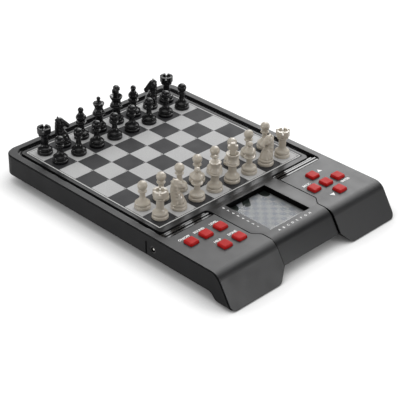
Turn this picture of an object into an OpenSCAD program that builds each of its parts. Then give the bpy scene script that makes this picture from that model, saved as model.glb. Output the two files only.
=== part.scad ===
// Electronic chess computer with its set of chess men.
// Millimetres. Origin under the middle of the case, on the table. Front faces -Y, +Z up.

/* [Board] */
// Side of one square
square = 25; // [22:0.5:28]
// Number of squares along one side
board_n = 8; // [8]
// Board sheet left around the squares
sheet_margin = 2.7; // [2:0.1:4]
// Thickness of the printed board sheet
sheet_t = 0.6; // [0.4:0.1:1]
// Thickness of the pressure sensor sheet
sensor_t = 0.8; // [0.5:0.1:1.5]
// Height of the playing surface above the table
board_z = 32.5; // [31:0.5:36]
// Clearance between the sheets and their recess
sheet_gap = 0.3; // [0.1:0.05:0.4]
// Deck left around the squares at the sides and back
deck_margin = 6; // [5.5:0.1:7]
// Deck left in front of the squares
deck_front = 8.8; // [6:0.1:10]
// Corner radius of the deck
deck_r = 5; // [3:0.5:6]

/* [Case] */
// From the squares to the case's left and right sides
side_margin = 19.5; // [18:0.25:24]
// From the squares to the case's back
rear_margin = 18.9; // [18:0.1:24]
// From the squares to the toes of the wings
front_depth = 115.6; // [112:0.1:125]
// Gap under the rear of the case
rear_clear = 11.5; // [10:0.25:12.5]
// Wall of the lower case
wall = 2.4; // [2:0.1:3]
// Floor of the lower case
floor_t = 2.2; // [1.8:0.1:2.6]
// Skin of the outer cover and the console
skin = 2; // [1.6:0.1:2.4]
// Height of the cover above the playing surface
cover_rise = 1.25; // [0.8:0.05:2]
// Corner radius of the case at the back
corner_r = 15; // [10:0.5:16]
// Tilt of the front slope from upright
slope_tilt = 31.8; // [26:0.2:36]
// Radius of the fold above the front slope
fold_r = 13.5; // [8:0.5:15]
// Thickness of the lower case's lip beside the cover
lip_t = 0.7; // [0.5:0.05:1]
// Gap between the lip and the cover
lip_gap = 0.5; // [0.3:0.05:0.8]
// How far the lip stays under the cover's face
lip_drop = 1.3; // [1:0.05:1.5]
// Clearance between the wings' toes and the table
toe_clear = 0.8; // [0.5:0.1:1.2]
// Corner radius of the wings' toes, outside
toe_r = 6; // [3:0.5:8]
// Corner radius of the wings' toes, towards the middle
toe_inner_r = 8; // [5:0.5:10]
// Height at which the wings' inner edges start to slant outwards
knee_z = 12.7; // [12.5:0.1:14]
// Run of the curve from the case's underside down to the toes
toe_run = 15.5; // [12:0.5:16]
// Length of the flat sole under the toes
toe_len = 14.8; // [14.5:0.1:17]

/* [Channel and grilles] */
// Width of the open gap round the deck
gap_w = 2.9; // [2:0.1:3.5]
// How far the channel frame's ledge shows inside the cover
rim_ledge = 2.4; // [1.5:0.1:3]
// How far that ledge reaches under the cover
rim_lap = 1.8; // [1:0.1:2.5]
// Corner radius of the cover's opening, at the back
rim_r = 12; // [8:0.5:14]
// Corner radius of the cover's opening, at the front
rim_front_r = 7; // [4:0.5:9]
// Depth of the gap below the playing surface
channel_d = 4.8; // [3:0.1:5]
// Wall and floor of the channel frame
channel_t = 1.2; // [1:0.1:1.5]
// Depth of each grille from the deck to the wing
grille_d = 12.8; // [12:0.1:16]
// Gap from the deck to the first grille bar
bar_gap = 0.6; // [0.4:0.1:1]
// Number of grille bars
bar_n = 3; // [2:1:3]
// Width of a grille bar
bar_w = 2; // [1.4:0.1:2.4]
// Distance from one grille bar to the next
bar_pitch = 4; // [3.6:0.1:4.2]

/* [Console] */
// Half width of the console beside the display
console_half = 46.4; // [42:0.2:48]
// Half width of the console at the front slope
console_half_front = 39.2; // [36:0.2:41]
// From the squares to the start of the step in its sides
jog_start = 68; // [62:0.5:72]
// Length of that step
jog_len = 11; // [8:0.5:14]
// Gap between the console and the wings
seam_gap = 1.2; // [0.8:0.1:1.6]
// Width of the ledge under the seam
ledge_w = 2.6; // [2:0.1:3.5]
// Thickness of the ledge under the seam
ledge_t = 1; // [0.8:0.1:1.4]
// How far the console's slope stays behind the wings' slopes
console_back = 2; // [1:0.1:3]
// Run of the ramp from the deck up to the console
ramp_run = 7; // [5:0.5:8]
// Radius of the corners between the deck and the console's neck
neck_r = 4.5; // [2:0.5:5]

/* [Display] */
// Width of the display opening
lcd_w = 56.5; // [50:0.5:58]
// Length of the display opening
lcd_l = 60.8; // [56:0.5:62]
// From the squares to the display opening
lcd_gap = 17.2; // [16.5:0.1:19]
// Depth of the window below the console's face
lcd_depth = 6.2; // [5:0.1:7]
// Wall round the display well
well_t = 1.6; // [1.2:0.1:2]
// Number of fine grooves in the well's walls
groove_n = 4; // [2:1:6]
// Depth of a groove
groove_d = 0.35; // [0.2:0.05:0.6]
// Thickness of the clear window
window_t = 1.2; // [1:0.1:1.6]
// Thickness of the display module
module_t = 3.6; // [3:0.1:4.5]

/* [Buttons] */
// Side of a button
button_w = 11.2; // [9:0.1:12]
// Height of a button above the wing
button_h = 2.9; // [2:0.1:4]
// Corner radius of a button
button_r = 1.2; // [0.6:0.1:2]
// Width of the sloping edge round a button's face
button_bevel = 1.1; // [0.6:0.1:1.5]
// Clearance round a button in its hole
button_gap = 0.35; // [0.25:0.05:0.6]
// How far a button travels
button_travel = 1.2; // [0.8:0.1:1.5]
// Width of the flange that holds a button in
flange_w = 1.1; // [0.8:0.1:1.4]
// Thickness of that flange
flange_t = 1.4; // [1:0.1:1.8]
// Distance between the left wing's button rows
left_pitch_y = 25; // [20:0.5:27]
// From the case's left side to the first button column
left_first_x = 21.3; // [18:0.1:24]
// From the console's seam to the last button column
left_last_x = 11.8; // [9:0.1:13]
// From the wing's rear edge to the first button row
left_first_y = 19.7; // [15:0.1:24]
// From the case's right side to the cross's outer button
cross_outer_x = 24.8; // [18:0.1:27]
// From the console's seam to the cross's inner button
cross_inner_x = 11.1; // [9:0.1:13]
// From the cross's centre to its back and front buttons
cross_arm = 18; // [16:0.1:20]
// From the wing's rear edge to the cross's centre
cross_y = 35.5; // [32:0.1:38]

/* [Chess men] */
// Radius of a man's base
base_r = 8.3; // [7:0.1:10]
// Height of the plinth at the foot of a man
plinth_h = 3.1; // [2.5:0.1:4]
// Height of the bulge above the plinth
bulge_h = 4.2; // [3.6:0.1:5.4]
// Height of a pawn
pawn_h = 29.8; // [27:0.1:33]
// Height of a rook
rook_h = 30.4; // [27:0.1:33]
// Height of a knight
knight_h = 34.5; // [31:0.1:38]
// Height of a bishop
bishop_h = 35.6; // [33:0.1:40]
// Height of a queen
queen_h = 39.5; // [37:0.1:44]
// Height of a king
king_h = 43.8; // [42:0.1:49]
// Radius of a pawn's head
pawn_head_r = 5; // [4.2:0.1:6]
// Radius of a rook's head
rook_head_r = 7.3; // [6:0.1:7.6]
// Radius of the hollow in a rook's head
rook_hollow_r = 4.5; // [3.5:0.1:5.2]
// Number of gaps in a rook's battlements
rook_gaps = 4; // [4:2:6]
// Thickness of a knight's neck
knight_t = 9.4; // [8:0.1:11]
// Heading of the knights on the b file
knight_b_turn = -25; // [-90:1:90]
// Heading of the knights on the g file
knight_g_turn = 165; // [90:1:270]
// How far a man lifts off the board
man_lift = 60; // [50:1:80]

/* [Electronics] */
// Diameter of the DC inlet's hole in the case
jack_hole_d = 7.7; // [7:0.1:8.5]
// Diameter of the DC inlet's bore
jack_bore_d = 5.6; // [5.5:0.1:6]
// Diameter of the DC inlet's centre pin
jack_pin_d = 2; // [1.8:0.1:2.1]
// Depth of the DC inlet's bore
jack_bore_l = 9.5; // [9:0.1:10]
// From the squares' front edge to the DC inlet's axis
jack_front = 11; // [10:0.5:14]
// Height of the DC inlet's axis
jack_z = 20.3; // [19.5:0.1:20.5]
// Width of the upright slit beside the inlet
slit_w = 2.2; // [1.6:0.1:3]
// From the squares' front edge to the slit
slit_front = 2; // [0:0.5:3]
// Diameter of a cell
cell_d = 14.2; // [13.8:0.1:14.5]
// Length of a cell
cell_l = 49.8; // [49:0.1:50.5]
// Number of cells
cell_n = 3; // [2:1:4]
// Thickness of the circuit boards
pcb_t = 1.6; // [1:0.1:2]
// Diameter of the loudspeaker
speaker_d = 36; // [30:1:40]
// Depth of the loudspeaker
speaker_h = 6; // [5:0.5:7]

/* [Fasteners and feet] */
// Diameter of the screws' threads
screw_d = 2.9; // [2.5:0.1:3]
// Diameter of the screws' heads
screw_head_d = 5.6; // [5:0.1:6]
// Diameter of the screw posts
post_d = 7; // [6.5:0.1:8]
// Diameter of the rear legs
leg_d = 18; // [14:0.5:20]
// Diameter of the rubber feet on the rear legs
foot_d = 14; // [10:0.5:15]
// Height that the rubber stands out
foot_h = 0.8; // [0.5:0.1:1.2]
// Depth of the rubber's seat
foot_seat = 1; // [0.6:0.1:1.4]

/* [Hidden] */
$fn = 64;
eps = 0.01;

// Places in plan
board_w = board_n * square;
case_w = board_w + 2 * side_margin;
case_d = rear_margin + board_w + front_depth;
side_x = case_w / 2;
back_y = case_d / 2;
toe_y = -case_d / 2;
board_y1 = back_y - rear_margin;
board_y0 = board_y1 - board_w;
deck_x = board_w / 2 + deck_margin;
deck_y1 = board_y1 + deck_margin;
deck_y0 = board_y0 - deck_front;
ledge_x = deck_x + gap_w;
ledge_y1 = deck_y1 + gap_w;
rim_x = ledge_x + rim_ledge;
rim_y1 = ledge_y1 + rim_ledge;
wing_y1 = deck_y0 - grille_d;
cover_x = side_x - lip_t - lip_gap;
cover_y1 = back_y - lip_t - lip_gap;
cover_r = corner_r - lip_t - lip_gap;
wing_x0 = console_half + seam_gap;
wing_x0_front = console_half_front + seam_gap;

// Heights
cover_z = board_z + cover_rise;
under_z = cover_z - skin;
floor_z = rear_clear + floor_t;
channel_z = board_z - channel_d;
deck_floor_z = board_z - sheet_t - sensor_t;
window_z = cover_z - lcd_depth;
module_z = window_z - window_t - module_t;

// Front slope: the straight line that the wings' faces lie on, and the fold above it
slope_k = tan(slope_tilt);
fold_vertex_y = toe_y + slope_k * (cover_z - toe_clear);
fold_y = fold_vertex_y + fold_r * tan((90 - slope_tilt) / 2);
fold_z = cover_z - fold_r;

// Where the round end of the wings' inner slant meets the sole
toe_in_x = wing_x0_front + knee_z - toe_clear + toe_inner_r * (sqrt(2) - 1);

// Display and control places
lcd_y1 = board_y0 - lcd_gap;
lcd_y0 = lcd_y1 - lcd_l;
left_x0 = -side_x + left_first_x;
left_y0 = wing_y1 - left_first_y;
left_pitch_x = (-wing_x0 - left_last_x - left_x0) / 2;
cross_cx = (side_x - cross_outer_x + wing_x0 + cross_inner_x) / 2;
cross_arm_x = (side_x - cross_outer_x - wing_x0 - cross_inner_x) / 2;
cross_cy = wing_y1 - cross_y;
left_buttons = [for (i = [0:2]) [left_x0 + i * left_pitch_x, left_y0],
                for (i = [1:2]) [left_x0 + i * left_pitch_x, left_y0 - left_pitch_y]];
right_buttons = [[cross_cx, cross_cy + cross_arm], [cross_cx - cross_arm_x, cross_cy], [cross_cx, cross_cy],
                 [cross_cx + cross_arm_x, cross_cy], [cross_cx, cross_cy - cross_arm]];
button_at = concat(left_buttons, right_buttons);
button_names = ["on_off", "sound", "level", "help", "done", "back", "left", "enter", "right", "front"];

// Button and key board heights: the stem stops short of the dome by the travel and a clearance
flange_z = under_z;
stem_z = flange_z - flange_t - 1.8;
stem_r = 2.2;
dome_top_z = stem_z - button_travel - 0.3;
dome_h = 1.2;
mat_t = 0.8;
key_z = dome_top_z - dome_h - mat_t - pcb_t;
key_edge = 3;

// Cells lie side by side under the deck, above their door
cell_gap = 0.4;
door_t = floor_t;
door_gap = 0.4;
bay_w = cell_l + 5;
bay_d = cell_n * (cell_d + cell_gap) + 1.6;
bay_y = board_y0 + 3 * square;
bay_wall = 1.4;
bay_top_z = deck_floor_z - skin - 0.3;
door_ledge = 1.6;
door_w = bay_w + 2 * door_ledge;
door_d = bay_d + 2 * door_ledge;

// Screw places: four into the deck, four into the wings
deck_posts = [for (x = [-1, 1], y = [board_y0 + square, board_y1 - square]) [x * (board_w / 2 - square), y]];
wing_posts = [for (x = [-1, 1], y = [wing_y1 - 7, fold_y + 12]) [x * (side_x - wall - post_d / 2 - 1), y]];
screw_len = 9;
screw_head_h = 1.8;
post_split_z = floor_z + 6;

// Rear legs and the pads under the wings' toes
leg_at = [for (x = [-1, 1]) [x * (side_x - 26), back_y - 26]];
pad_w = 34;
pad_d = 7;
pad_y = toe_y + 10.5;
frame_posts = [for (x = [-1, 1],
    y = [wing_y1 + 1.5, board_y0 + 2 * square, board_y1 - 2 * square, deck_y1 - deck_r])
               [x * (deck_x + gap_w / 2), y]];
pad_at = [for (x = [-1, 1]) [x * (side_x + wing_x0_front) / 2, pad_y]];

// The men of one side from the a file to the h file
back_rank = ["rook", "knight", "bishop", "queen", "king", "bishop", "knight", "rook"];
files = ["a", "b", "c", "d", "e", "f", "g", "h"];
sides = ["white", "black"];
pawn_rank = [2, 7];
home_rank = [1, 8];
pawn_names = [for (s = [0:1], i = [0:7]) str(sides[s], "_pawn_", files[i])];
piece_names = [for (s = [0:1], i = [0:7]) str(sides[s], "_", back_rank[i], "_", files[i])];
white_tone = [0.86, 0.84, 0.79];
black_tone = [0.05, 0.05, 0.05];
case_tone = [0.23, 0.23, 0.24];
dark_tone = [0.1, 0.1, 0.11];

case_nodes = ["lower_case", "outer_cover", "console_deck", "channel_frame", "board_sheet", "sensor_sheet",
              "display_window", "display_module", "main_board", "key_boards", "dome_mats", "loudspeaker",
              "dc_inlet", "battery_cells", "battery_contacts", "battery_door", "case_screws",
              "rubber_feet"];

// ---------- plan and profile outlines ----------

// A rectangle with round corners
module round_rect(x0, y0, x1, y1, r) {
    translate([x0 + r, y0]) square([x1 - x0 - 2 * r, y1 - y0]);
    translate([x0, y0 + r]) square([x1 - x0, y1 - y0 - 2 * r]);
    for (x = [x0 + r, x1 - r], y = [y0 + r, y1 - r])
        translate([x, y]) circle(r);
}

// The same, centred on x = 0, with radius r0 at the front and r1 at the back
module front_back_rect(x, y0, y1, r0, r1) {
    mid_y = (y0 + y1) / 2;
    round_rect(-x, y0, x, mid_y + r0, r0);
    round_rect(-x, mid_y - r1, x, y1, r1);
}

// A box standing on z0 with its plan given by two corners
module slab(x0, y0, z0, x1, y1, z1) {
    translate([x0, y0, z0]) cube([x1 - x0, y1 - y0, z1 - z0]);
}

// Points of a soft step from a to b: half a cosine wave
function step(a, b, n = 8) =
    [for (i = [0:n]) [a[0] + (b[0] - a[0]) * (1 - cos(180 * i / n)) / 2, a[1] + (b[1] - a[1]) * i / n]];

// The console's right-hand edge seen from above, moved out by e
function console_edge(e) = concat(
    [[console_half + e, deck_y0]],
    step([console_half + e, board_y0 - jog_start], [console_half_front + e, board_y0 - jog_start - jog_len]),
    [[console_half_front + e, toe_y - 5]]);

// The console's plan, moved out by e
module console_plan(e) {
    edge = console_edge(e);
    polygon(concat(edge, [for (i = [len(edge) - 1:-1:0]) [-edge[i][0], edge[i][1]]]));
}

// Side view of the case's top, fold and slope, moved in by drop and back by shift,
// closed by a level line at z0 and an upright one at y1
module side_view(drop, z0, y1, shift = 0) {
    r = fold_r - drop;
    foot_y = toe_y + slope_k * (z0 - toe_clear) + drop / cos(slope_tilt);
    translate([shift, 0]) {
        translate([fold_y, fold_z]) intersection() {
            circle(r);
            translate([-r - 1, 0]) square([2 * r + 2, r + 1]);
        }
        polygon([[y1 - shift, z0], [y1 - shift, cover_z - drop], [fold_y, cover_z - drop], [fold_y, fold_z],
                 [fold_y - r * cos(slope_tilt), fold_z + r * sin(slope_tilt)], [foot_y, z0]]);
    }
}

// Stretches a side view from x0 to x1
module along_x(x0, x1) {
    translate([x0, 0, 0]) rotate([90, 0, 90]) linear_extrude(x1 - x0) children();
}

// Front view of both wings down to the sole: round outer corners, slanted inner edges
module wing_front(x1, top) {
    slant = toe_inner_r * sqrt(0.5);
    for (side = [0, 1]) mirror([side, 0]) {
        polygon([[wing_x0_front, top], [wing_x0_front, knee_z], [toe_in_x - slant, toe_clear + toe_inner_r - slant],
                 [toe_in_x, toe_clear + toe_inner_r], [toe_in_x, toe_clear], [x1 - toe_r, toe_clear],
                 [x1 - toe_r, toe_clear + toe_r], [x1, toe_clear + toe_r], [x1, top]]);
        translate([toe_in_x, toe_clear + toe_inner_r]) circle(toe_inner_r);
        translate([x1 - toe_r, toe_clear + toe_r]) circle(toe_r);
    }
}

// ---------- case ----------

// Skin of the wings and the rim, without openings
module cover_skin() {
    intersection() {
        along_x(-cover_x, cover_x) difference() {
            side_view(0, toe_clear, back_y);
            side_view(skin, -1, back_y + 1);
        }
        linear_extrude(cover_z + 1) round_rect(-cover_x, toe_y - cover_r, cover_x, cover_y1, cover_r);
        translate([0, back_y, 0]) rotate([90, 0, 0]) linear_extrude(case_d + 1)
            union() {
                wing_front(cover_x, cover_z + 1);
                translate([-wing_x0_front - 1, knee_z]) square([2 * wing_x0_front + 2, cover_z]);
            }
    }
}

module outer_cover() {
    color(case_tone) {
        difference() {
            cover_skin();
            translate([0, 0, board_z - skin - 5]) linear_extrude(skin + 10)
                front_back_rect(rim_x, wing_y1, rim_y1, rim_front_r, rim_r);
            translate([0, 0, -1]) linear_extrude(cover_z + 2) console_plan(seam_gap);
            for (p = button_at) translate([p[0], p[1], under_z - 1]) linear_extrude(skin + 2)
                round_rect(-button_w / 2 - button_gap, -button_w / 2 - button_gap, button_w / 2 + button_gap,
                           button_w / 2 + button_gap, button_r + button_gap);
        }
        for (p = wing_posts) translate([p[0], p[1], 0]) screw_post(under_z);
    }
}

// A post that hangs from the cover or deck and takes a screw from below
module screw_post(top) {
    translate([0, 0, post_split_z]) difference() {
        cylinder(d = post_d, h = top - post_split_z);
        translate([0, 0, -1]) cylinder(d = screw_d + 0.1, h = screw_len);
    }
}

// The lower half of a screw's seat: a post from the floor with a counterbore
module screw_seat() {
    difference() {
        translate([0, 0, floor_z - eps]) cylinder(d = post_d, h = post_split_z - floor_z + eps);
        screw_way();
    }
}

module screw_way() {
    translate([0, 0, rear_clear - 1]) cylinder(d = screw_head_d + 0.6, h = 1 + screw_head_h + 0.6);
    translate([0, 0, rear_clear - 1]) cylinder(d = screw_d + 0.4, h = post_split_z - rear_clear + 2);
}

// Underside of the case in side view: flat, then a soft curve down to the sole
module under_view() {
    y1 = toe_y + toe_len + toe_run;
    polygon(concat(
        [[back_y, rear_clear]],
        [for (i = [0:10]) [y1 - toe_run * i / 10, rear_clear - (rear_clear - toe_clear) * (1 - cos(18 * i)) / 2]],
        [[toe_y - 10, toe_clear], [toe_y - 10, cover_z], [back_y, cover_z]]));
}

// Solid block of the lower case up to a given drop below the cover's face
module lower_block(drop) {
    intersection() {
        union() {
            for (side = [0, 1]) mirror([side, 0, 0])
                along_x(wing_x0_front, side_x) intersection() {
                    side_view(drop, toe_clear, back_y);
                    under_view();
                }
            along_x(-wing_x0_front - eps, wing_x0_front + eps)
                side_view(drop, rear_clear, back_y, console_back);
        }
        linear_extrude(cover_z) round_rect(-side_x, toe_y - corner_r, side_x, back_y, corner_r);
        translate([0, back_y + 1, 0]) rotate([90, 0, 0]) linear_extrude(case_d + 2) {
            wing_front(side_x, cover_z);
            translate([-side_x, rear_clear]) square([case_w, cover_z]);
        }
    }
}

// Hollow of the lower case, with the pockets in the toes
module lower_hollow() {
    intersection() {
        along_x(-side_x + wall, side_x - wall) side_view(0, floor_z, back_y);
        linear_extrude(cover_z)
            round_rect(-side_x + wall, toe_y - corner_r, side_x - wall, back_y - wall, corner_r - wall);
    }
    for (side = [0, 1]) mirror([side, 0, 0])
        slab(toe_in_x, pad_y - 4, toe_clear + wall, side_x - wall - toe_r, pad_y + 4, floor_z + 1);
}

module lower_case() {
    color(case_tone) {
        difference() {
            union() {
                lower_block(skin);
                difference() {
                    lower_block(lip_drop);
                    translate([0, 0, -1]) linear_extrude(cover_z + 2)
                        round_rect(-side_x + lip_t, toe_y - corner_r - 1, side_x - lip_t, back_y - lip_t,
                                   corner_r - lip_t);
                }
                for (p = leg_at) translate([p[0], p[1], foot_h]) cylinder(d = leg_d, h = rear_clear);
            }
            lower_hollow();
            battery_room();
            for (p = concat(deck_posts, wing_posts)) translate([p[0], p[1], 0]) screw_way();
            for (p = leg_at) translate([p[0], p[1], -1]) cylinder(d = foot_d + 0.3, h = 1 + foot_h + foot_seat);
            for (p = pad_at) slab(p[0] - pad_w / 2 - 0.2, p[1] - pad_d / 2 - 0.2, -1,
                                  p[0] + pad_w / 2 + 0.2, p[1] + pad_d / 2 + 0.2, toe_clear + foot_seat);
            inlet_hole();
            side_slit();
            speaker_holes();
        }
        for (p = concat(deck_posts, wing_posts)) translate([p[0], p[1], 0]) screw_seat();
        battery_bay();
        key_posts();
        board_posts();
        for (p = frame_posts) translate([p[0], p[1], floor_z - eps])
            cylinder(d = 5, h = channel_z - channel_t - floor_z + eps);
    }
}

module inlet_hole() {
    translate([-side_x - 1, board_y0 - jack_front, jack_z]) rotate([0, 90, 0]) cylinder(d = jack_hole_d, h = wall + 2);
}

// Upright slit with a round top, cut half through the left wall
module side_slit() {
    depth = wall / 2;
    top_z = board_z - 7;
    translate([-side_x - 1, board_y0 - slit_front, 0]) {
        slab(0, -slit_w / 2, rear_clear + 0.8, depth + 1, slit_w / 2, top_z);
        translate([0, 0, top_z]) rotate([0, 90, 0]) cylinder(d = slit_w, h = depth + 1);
    }
}

// Rings of round holes in the floor under the loudspeaker
module speaker_holes() {
    for (ring = [0:2], i = [0:max(0, ring * 6 - 1)])
        translate([cross_cx, cross_cy, rear_clear - 1]) rotate([0, 0, i * 60 / max(1, ring)])
            translate([ring * 5, 0, 0]) cylinder(d = 2.2, h = floor_t + 2);
}

// Cut-out of the floor for the battery door
module battery_room() {
    translate([0, bay_y, 0])
        slab(-door_w / 2 - door_gap, -door_d / 2 - door_gap, rear_clear - 1,
             door_w / 2 + door_gap, door_d / 2 + door_gap, floor_z + 1);
}

// Walls round the cells, up to the deck; their feet reach over the door's edges
module battery_bay() {
    out_x = door_w / 2 + door_gap + bay_wall;
    out_y = door_d / 2 + door_gap + bay_wall;
    translate([0, bay_y, 0]) difference() {
        slab(-out_x, -out_y, floor_z, out_x, out_y, bay_top_z);
        slab(-bay_w / 2, -bay_d / 2, floor_z - 1, bay_w / 2, bay_d / 2, bay_top_z + 1);
    }
}

// Posts that carry the two key boards
module key_posts() {
    for (side = [0, 1]) {
        c = key_centre(side);
        h = key_half(side);
        for (x = [-1, 1], y = [-1, 1])
            translate([c[0] + x * (h[0] - 2.5), c[1] + y * (h[1] - 2.5), floor_z - eps])
                cylinder(d = 4, h = key_z - floor_z + eps);
    }
}

// Middle and half size of a wing's key board, from the buttons that it serves
function key_list(side) = side == 0 ? left_buttons : right_buttons;
function key_lo(side, k) = min([for (p = key_list(side)) p[k]]) - button_w / 2 - key_edge;
function key_hi(side, k) = max([for (p = key_list(side)) p[k]]) + button_w / 2 + key_edge;
function key_centre(side) = [for (k = [0:1]) (key_lo(side, k) + key_hi(side, k)) / 2];
function key_half(side) = [for (k = [0:1]) (key_hi(side, k) - key_lo(side, k)) / 2];

// Posts that carry the main board under the display
main_half = [console_half_front - 6, lcd_l / 2 - 2];
main_cy = (lcd_y0 + lcd_y1) / 2;
main_z = floor_z + 2.4;
module board_posts() {
    for (x = [-1, 1], y = [-1, 1])
        translate([x * (main_half[0] - 3), main_cy + y * (main_half[1] - 3), floor_z - eps])
            cylinder(d = 5, h = main_z - floor_z + eps);
}

module console_deck() {
    color(case_tone) {
        difference() {
            union() {
                // Deck plate and its skirt
                translate([0, 0, deck_floor_z - skin]) linear_extrude(board_z - deck_floor_z + skin)
                    round_rect(-deck_x, deck_y0, deck_x, deck_y1, deck_r);
                deck_skirt();
                console_skin();
                display_well();
            }
            translate([0, (board_y0 + board_y1) / 2, deck_floor_z]) linear_extrude(10)
                round_rect(-board_w / 2 - sheet_margin - sheet_gap, -board_w / 2 - sheet_margin - sheet_gap,
                           board_w / 2 + sheet_margin + sheet_gap, board_w / 2 + sheet_margin + sheet_gap, 2);
            display_opening();
        }
        for (p = deck_posts) translate([p[0], p[1], 0]) screw_post(deck_floor_z - skin);
    }
}

module deck_skirt() {
    translate([0, 0, channel_z]) linear_extrude(deck_floor_z - channel_z) difference() {
        round_rect(-deck_x, deck_y0, deck_x, deck_y1, deck_r);
        round_rect(-deck_x + skin, deck_y0 + skin, deck_x - skin, deck_y1 - skin, deck_r - skin);
    }
}

// Console top, fold and slope, with the ledge that closes the seams from below
module console_skin() {
    top_y = deck_y0 - ramp_run;
    intersection() {
        along_x(-console_half - neck_r, console_half + neck_r) union() {
            difference() {
                side_view(0, rear_clear, top_y, console_back);
                side_view(skin, -1, top_y + 1, console_back);
            }
            polygon([[top_y - eps, under_z], [top_y - eps, cover_z], [top_y, cover_z], [deck_y0 + eps, board_z],
                     [deck_y0 + eps, board_z - skin], [top_y, under_z]]);
        }
        linear_extrude(cover_z + 1) {
            console_plan(0);
            neck_corners();
        }
    }
    intersection() {
        along_x(-wing_x0 - ledge_w, wing_x0 + ledge_w) difference() {
            side_view(skin + 0.3, rear_clear + floor_t + 1, wing_y1 - rim_lap - 0.4, console_back);
            side_view(skin + 0.3 + ledge_t, -1, wing_y1, console_back);
        }
        linear_extrude(cover_z + 1) difference() {
            console_plan(seam_gap + ledge_w);
            console_plan(-ledge_w);
        }
    }
    intersection() {
        along_x(-console_half - 1, console_half + 1) difference() {
            side_view(skin - eps, rear_clear + floor_t + 1, wing_y1 - rim_lap - 0.4, console_back);
            side_view(skin + 0.3 + ledge_t, -1, wing_y1, console_back);
        }
        linear_extrude(cover_z + 1) difference() {
            console_plan(0);
            console_plan(-ledge_w);
        }
    }
}

// Hollow corners between the deck's front edge and the console's neck
module neck_corners() {
    for (side = [0, 1]) mirror([side, 0]) difference() {
        translate([console_half - eps, deck_y0 - neck_r]) square([neck_r + eps, neck_r + eps]);
        translate([console_half + neck_r, deck_y0 - neck_r]) circle(neck_r);
    }
}

module display_well() {
    slab(-lcd_w / 2 - well_t, lcd_y0 - well_t, window_z, lcd_w / 2 + well_t, lcd_y1 + well_t, under_z + eps);
}

// Opening over the window, with fine grooves round its walls
module display_opening() {
    slab(-lcd_w / 2, lcd_y0, window_z - 1, lcd_w / 2, lcd_y1, cover_z + 1);
    pitch = (lcd_depth - skin / 2) / (groove_n + 1);
    for (i = [1:groove_n])
        slab(-lcd_w / 2 - groove_d, lcd_y0 - groove_d, cover_z - skin / 2 - i * pitch,
             lcd_w / 2 + groove_d, lcd_y1 + groove_d, cover_z - skin / 2 - (i - 0.5) * pitch);
}

module channel_frame() {
    bar_y = deck_y0 - bar_gap - bar_w / 2;
    color(dark_tone) {
        translate([0, 0, channel_z - channel_t]) linear_extrude(channel_t) channel_floor();
        translate([0, 0, channel_z - eps]) linear_extrude(under_z - channel_z) channel_wall();
        translate([0, 0, under_z - channel_t]) linear_extrude(channel_t) channel_ledge();
        pocket_ends();
        for (side = [0, 1], i = [0:bar_n - 1]) mirror([side, 0, 0])
            grille_bar(bar_y - i * bar_pitch, i == 0 ? board_z - 1.2 : board_z);
    }
}

// The open channel seen from above, moved out by e: a band round the deck and two pockets in front of it
module channel_plan(e) {
    front_back_rect(ledge_x + e, wing_y1 - e, ledge_y1 + e, rim_front_r + e, rim_r - rim_ledge + e);
    round_rect(-rim_x - e, wing_y1 - e, rim_x + e, deck_y0 + rim_front_r + e, rim_front_r + e);
}

// The console's neck, moved in by e, which the channel leaves out
module neck_room(e) {
    half = wing_x0 - e;
    y0 = wing_y1 - channel_t - rim_lap - 1;
    translate([-half, y0]) square([2 * half, deck_y0 + skin + 1 - y0]);
}

module channel_floor() {
    difference() {
        channel_plan(channel_t);
        round_rect(-deck_x + skin, deck_y0 + skin, deck_x - skin, deck_y1 - skin, deck_r - skin);
        neck_room(channel_t);
    }
}

module channel_wall() {
    difference() {
        channel_plan(channel_t);
        channel_plan(0);
        neck_room(0);
    }
}

// Ledge round the top of the wall, which the cover rests on
module channel_ledge() {
    difference() {
        front_back_rect(rim_x + rim_lap, wing_y1 - rim_lap, rim_y1 + rim_lap, rim_front_r + rim_lap, rim_r + rim_lap);
        channel_plan(0);
        neck_room(0);
    }
}

// Walls at the pockets' inner ends, below the neck's skin
module pocket_ends() {
    for (side = [0, 1]) mirror([side, 0, 0])
        slab(wing_x0 - channel_t, wing_y1 - channel_t, channel_z - channel_t, wing_x0 + eps, deck_y0,
             board_z - skin - 0.3);
}

module grille_bar(y, top) {
    x0 = wing_x0 + 2;
    x1 = rim_x - 1.6;
    translate([0, 0, channel_z - eps]) linear_extrude(top - channel_z) {
        translate([x0, y - bar_w / 2]) square([x1 - x0, bar_w]);
        translate([x0, y]) circle(d = bar_w);
        translate([x1, y]) circle(d = bar_w);
    }
}

// ---------- board, display and electronics ----------

module board_sheet() {
    half = board_w / 2 + sheet_margin;
    color("silver") translate([0, (board_y0 + board_y1) / 2, board_z - sheet_t]) linear_extrude(sheet_t)
        round_rect(-half, -half, half, half, 2);
}

module sensor_sheet() {
    half = board_w / 2 + sheet_margin;
    color("darkgreen") translate([0, (board_y0 + board_y1) / 2, deck_floor_z]) linear_extrude(sensor_t)
        round_rect(-half, -half, half, half, 2);
}

module display_window() {
    color([0.75, 0.8, 0.82, 0.6]) slab(-lcd_w / 2 - well_t, lcd_y0 - well_t, window_z - window_t,
                                       lcd_w / 2 + well_t, lcd_y1 + well_t, window_z);
}

module display_module() {
    color("darkslategray") slab(-lcd_w / 2 - well_t, lcd_y0 - well_t, module_z,
                                lcd_w / 2 + well_t, lcd_y1 + well_t, module_z + module_t);
}

module main_board() {
    color("green") {
        slab(-main_half[0], main_cy - main_half[1], main_z, main_half[0], main_cy + main_half[1], main_z + pcb_t);
        slab(-9, main_cy - 9, main_z + pcb_t, 9, main_cy + 9, main_z + pcb_t + 1.6);
        // Carriers that hold the display module
        for (x = [-1, 1])
            slab(x * (lcd_w / 2 - 2) - 2, main_cy - lcd_l / 2 + 8, main_z + pcb_t,
                 x * (lcd_w / 2 - 2) + 2, main_cy + lcd_l / 2 - 8, module_z);
    }
}

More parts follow.
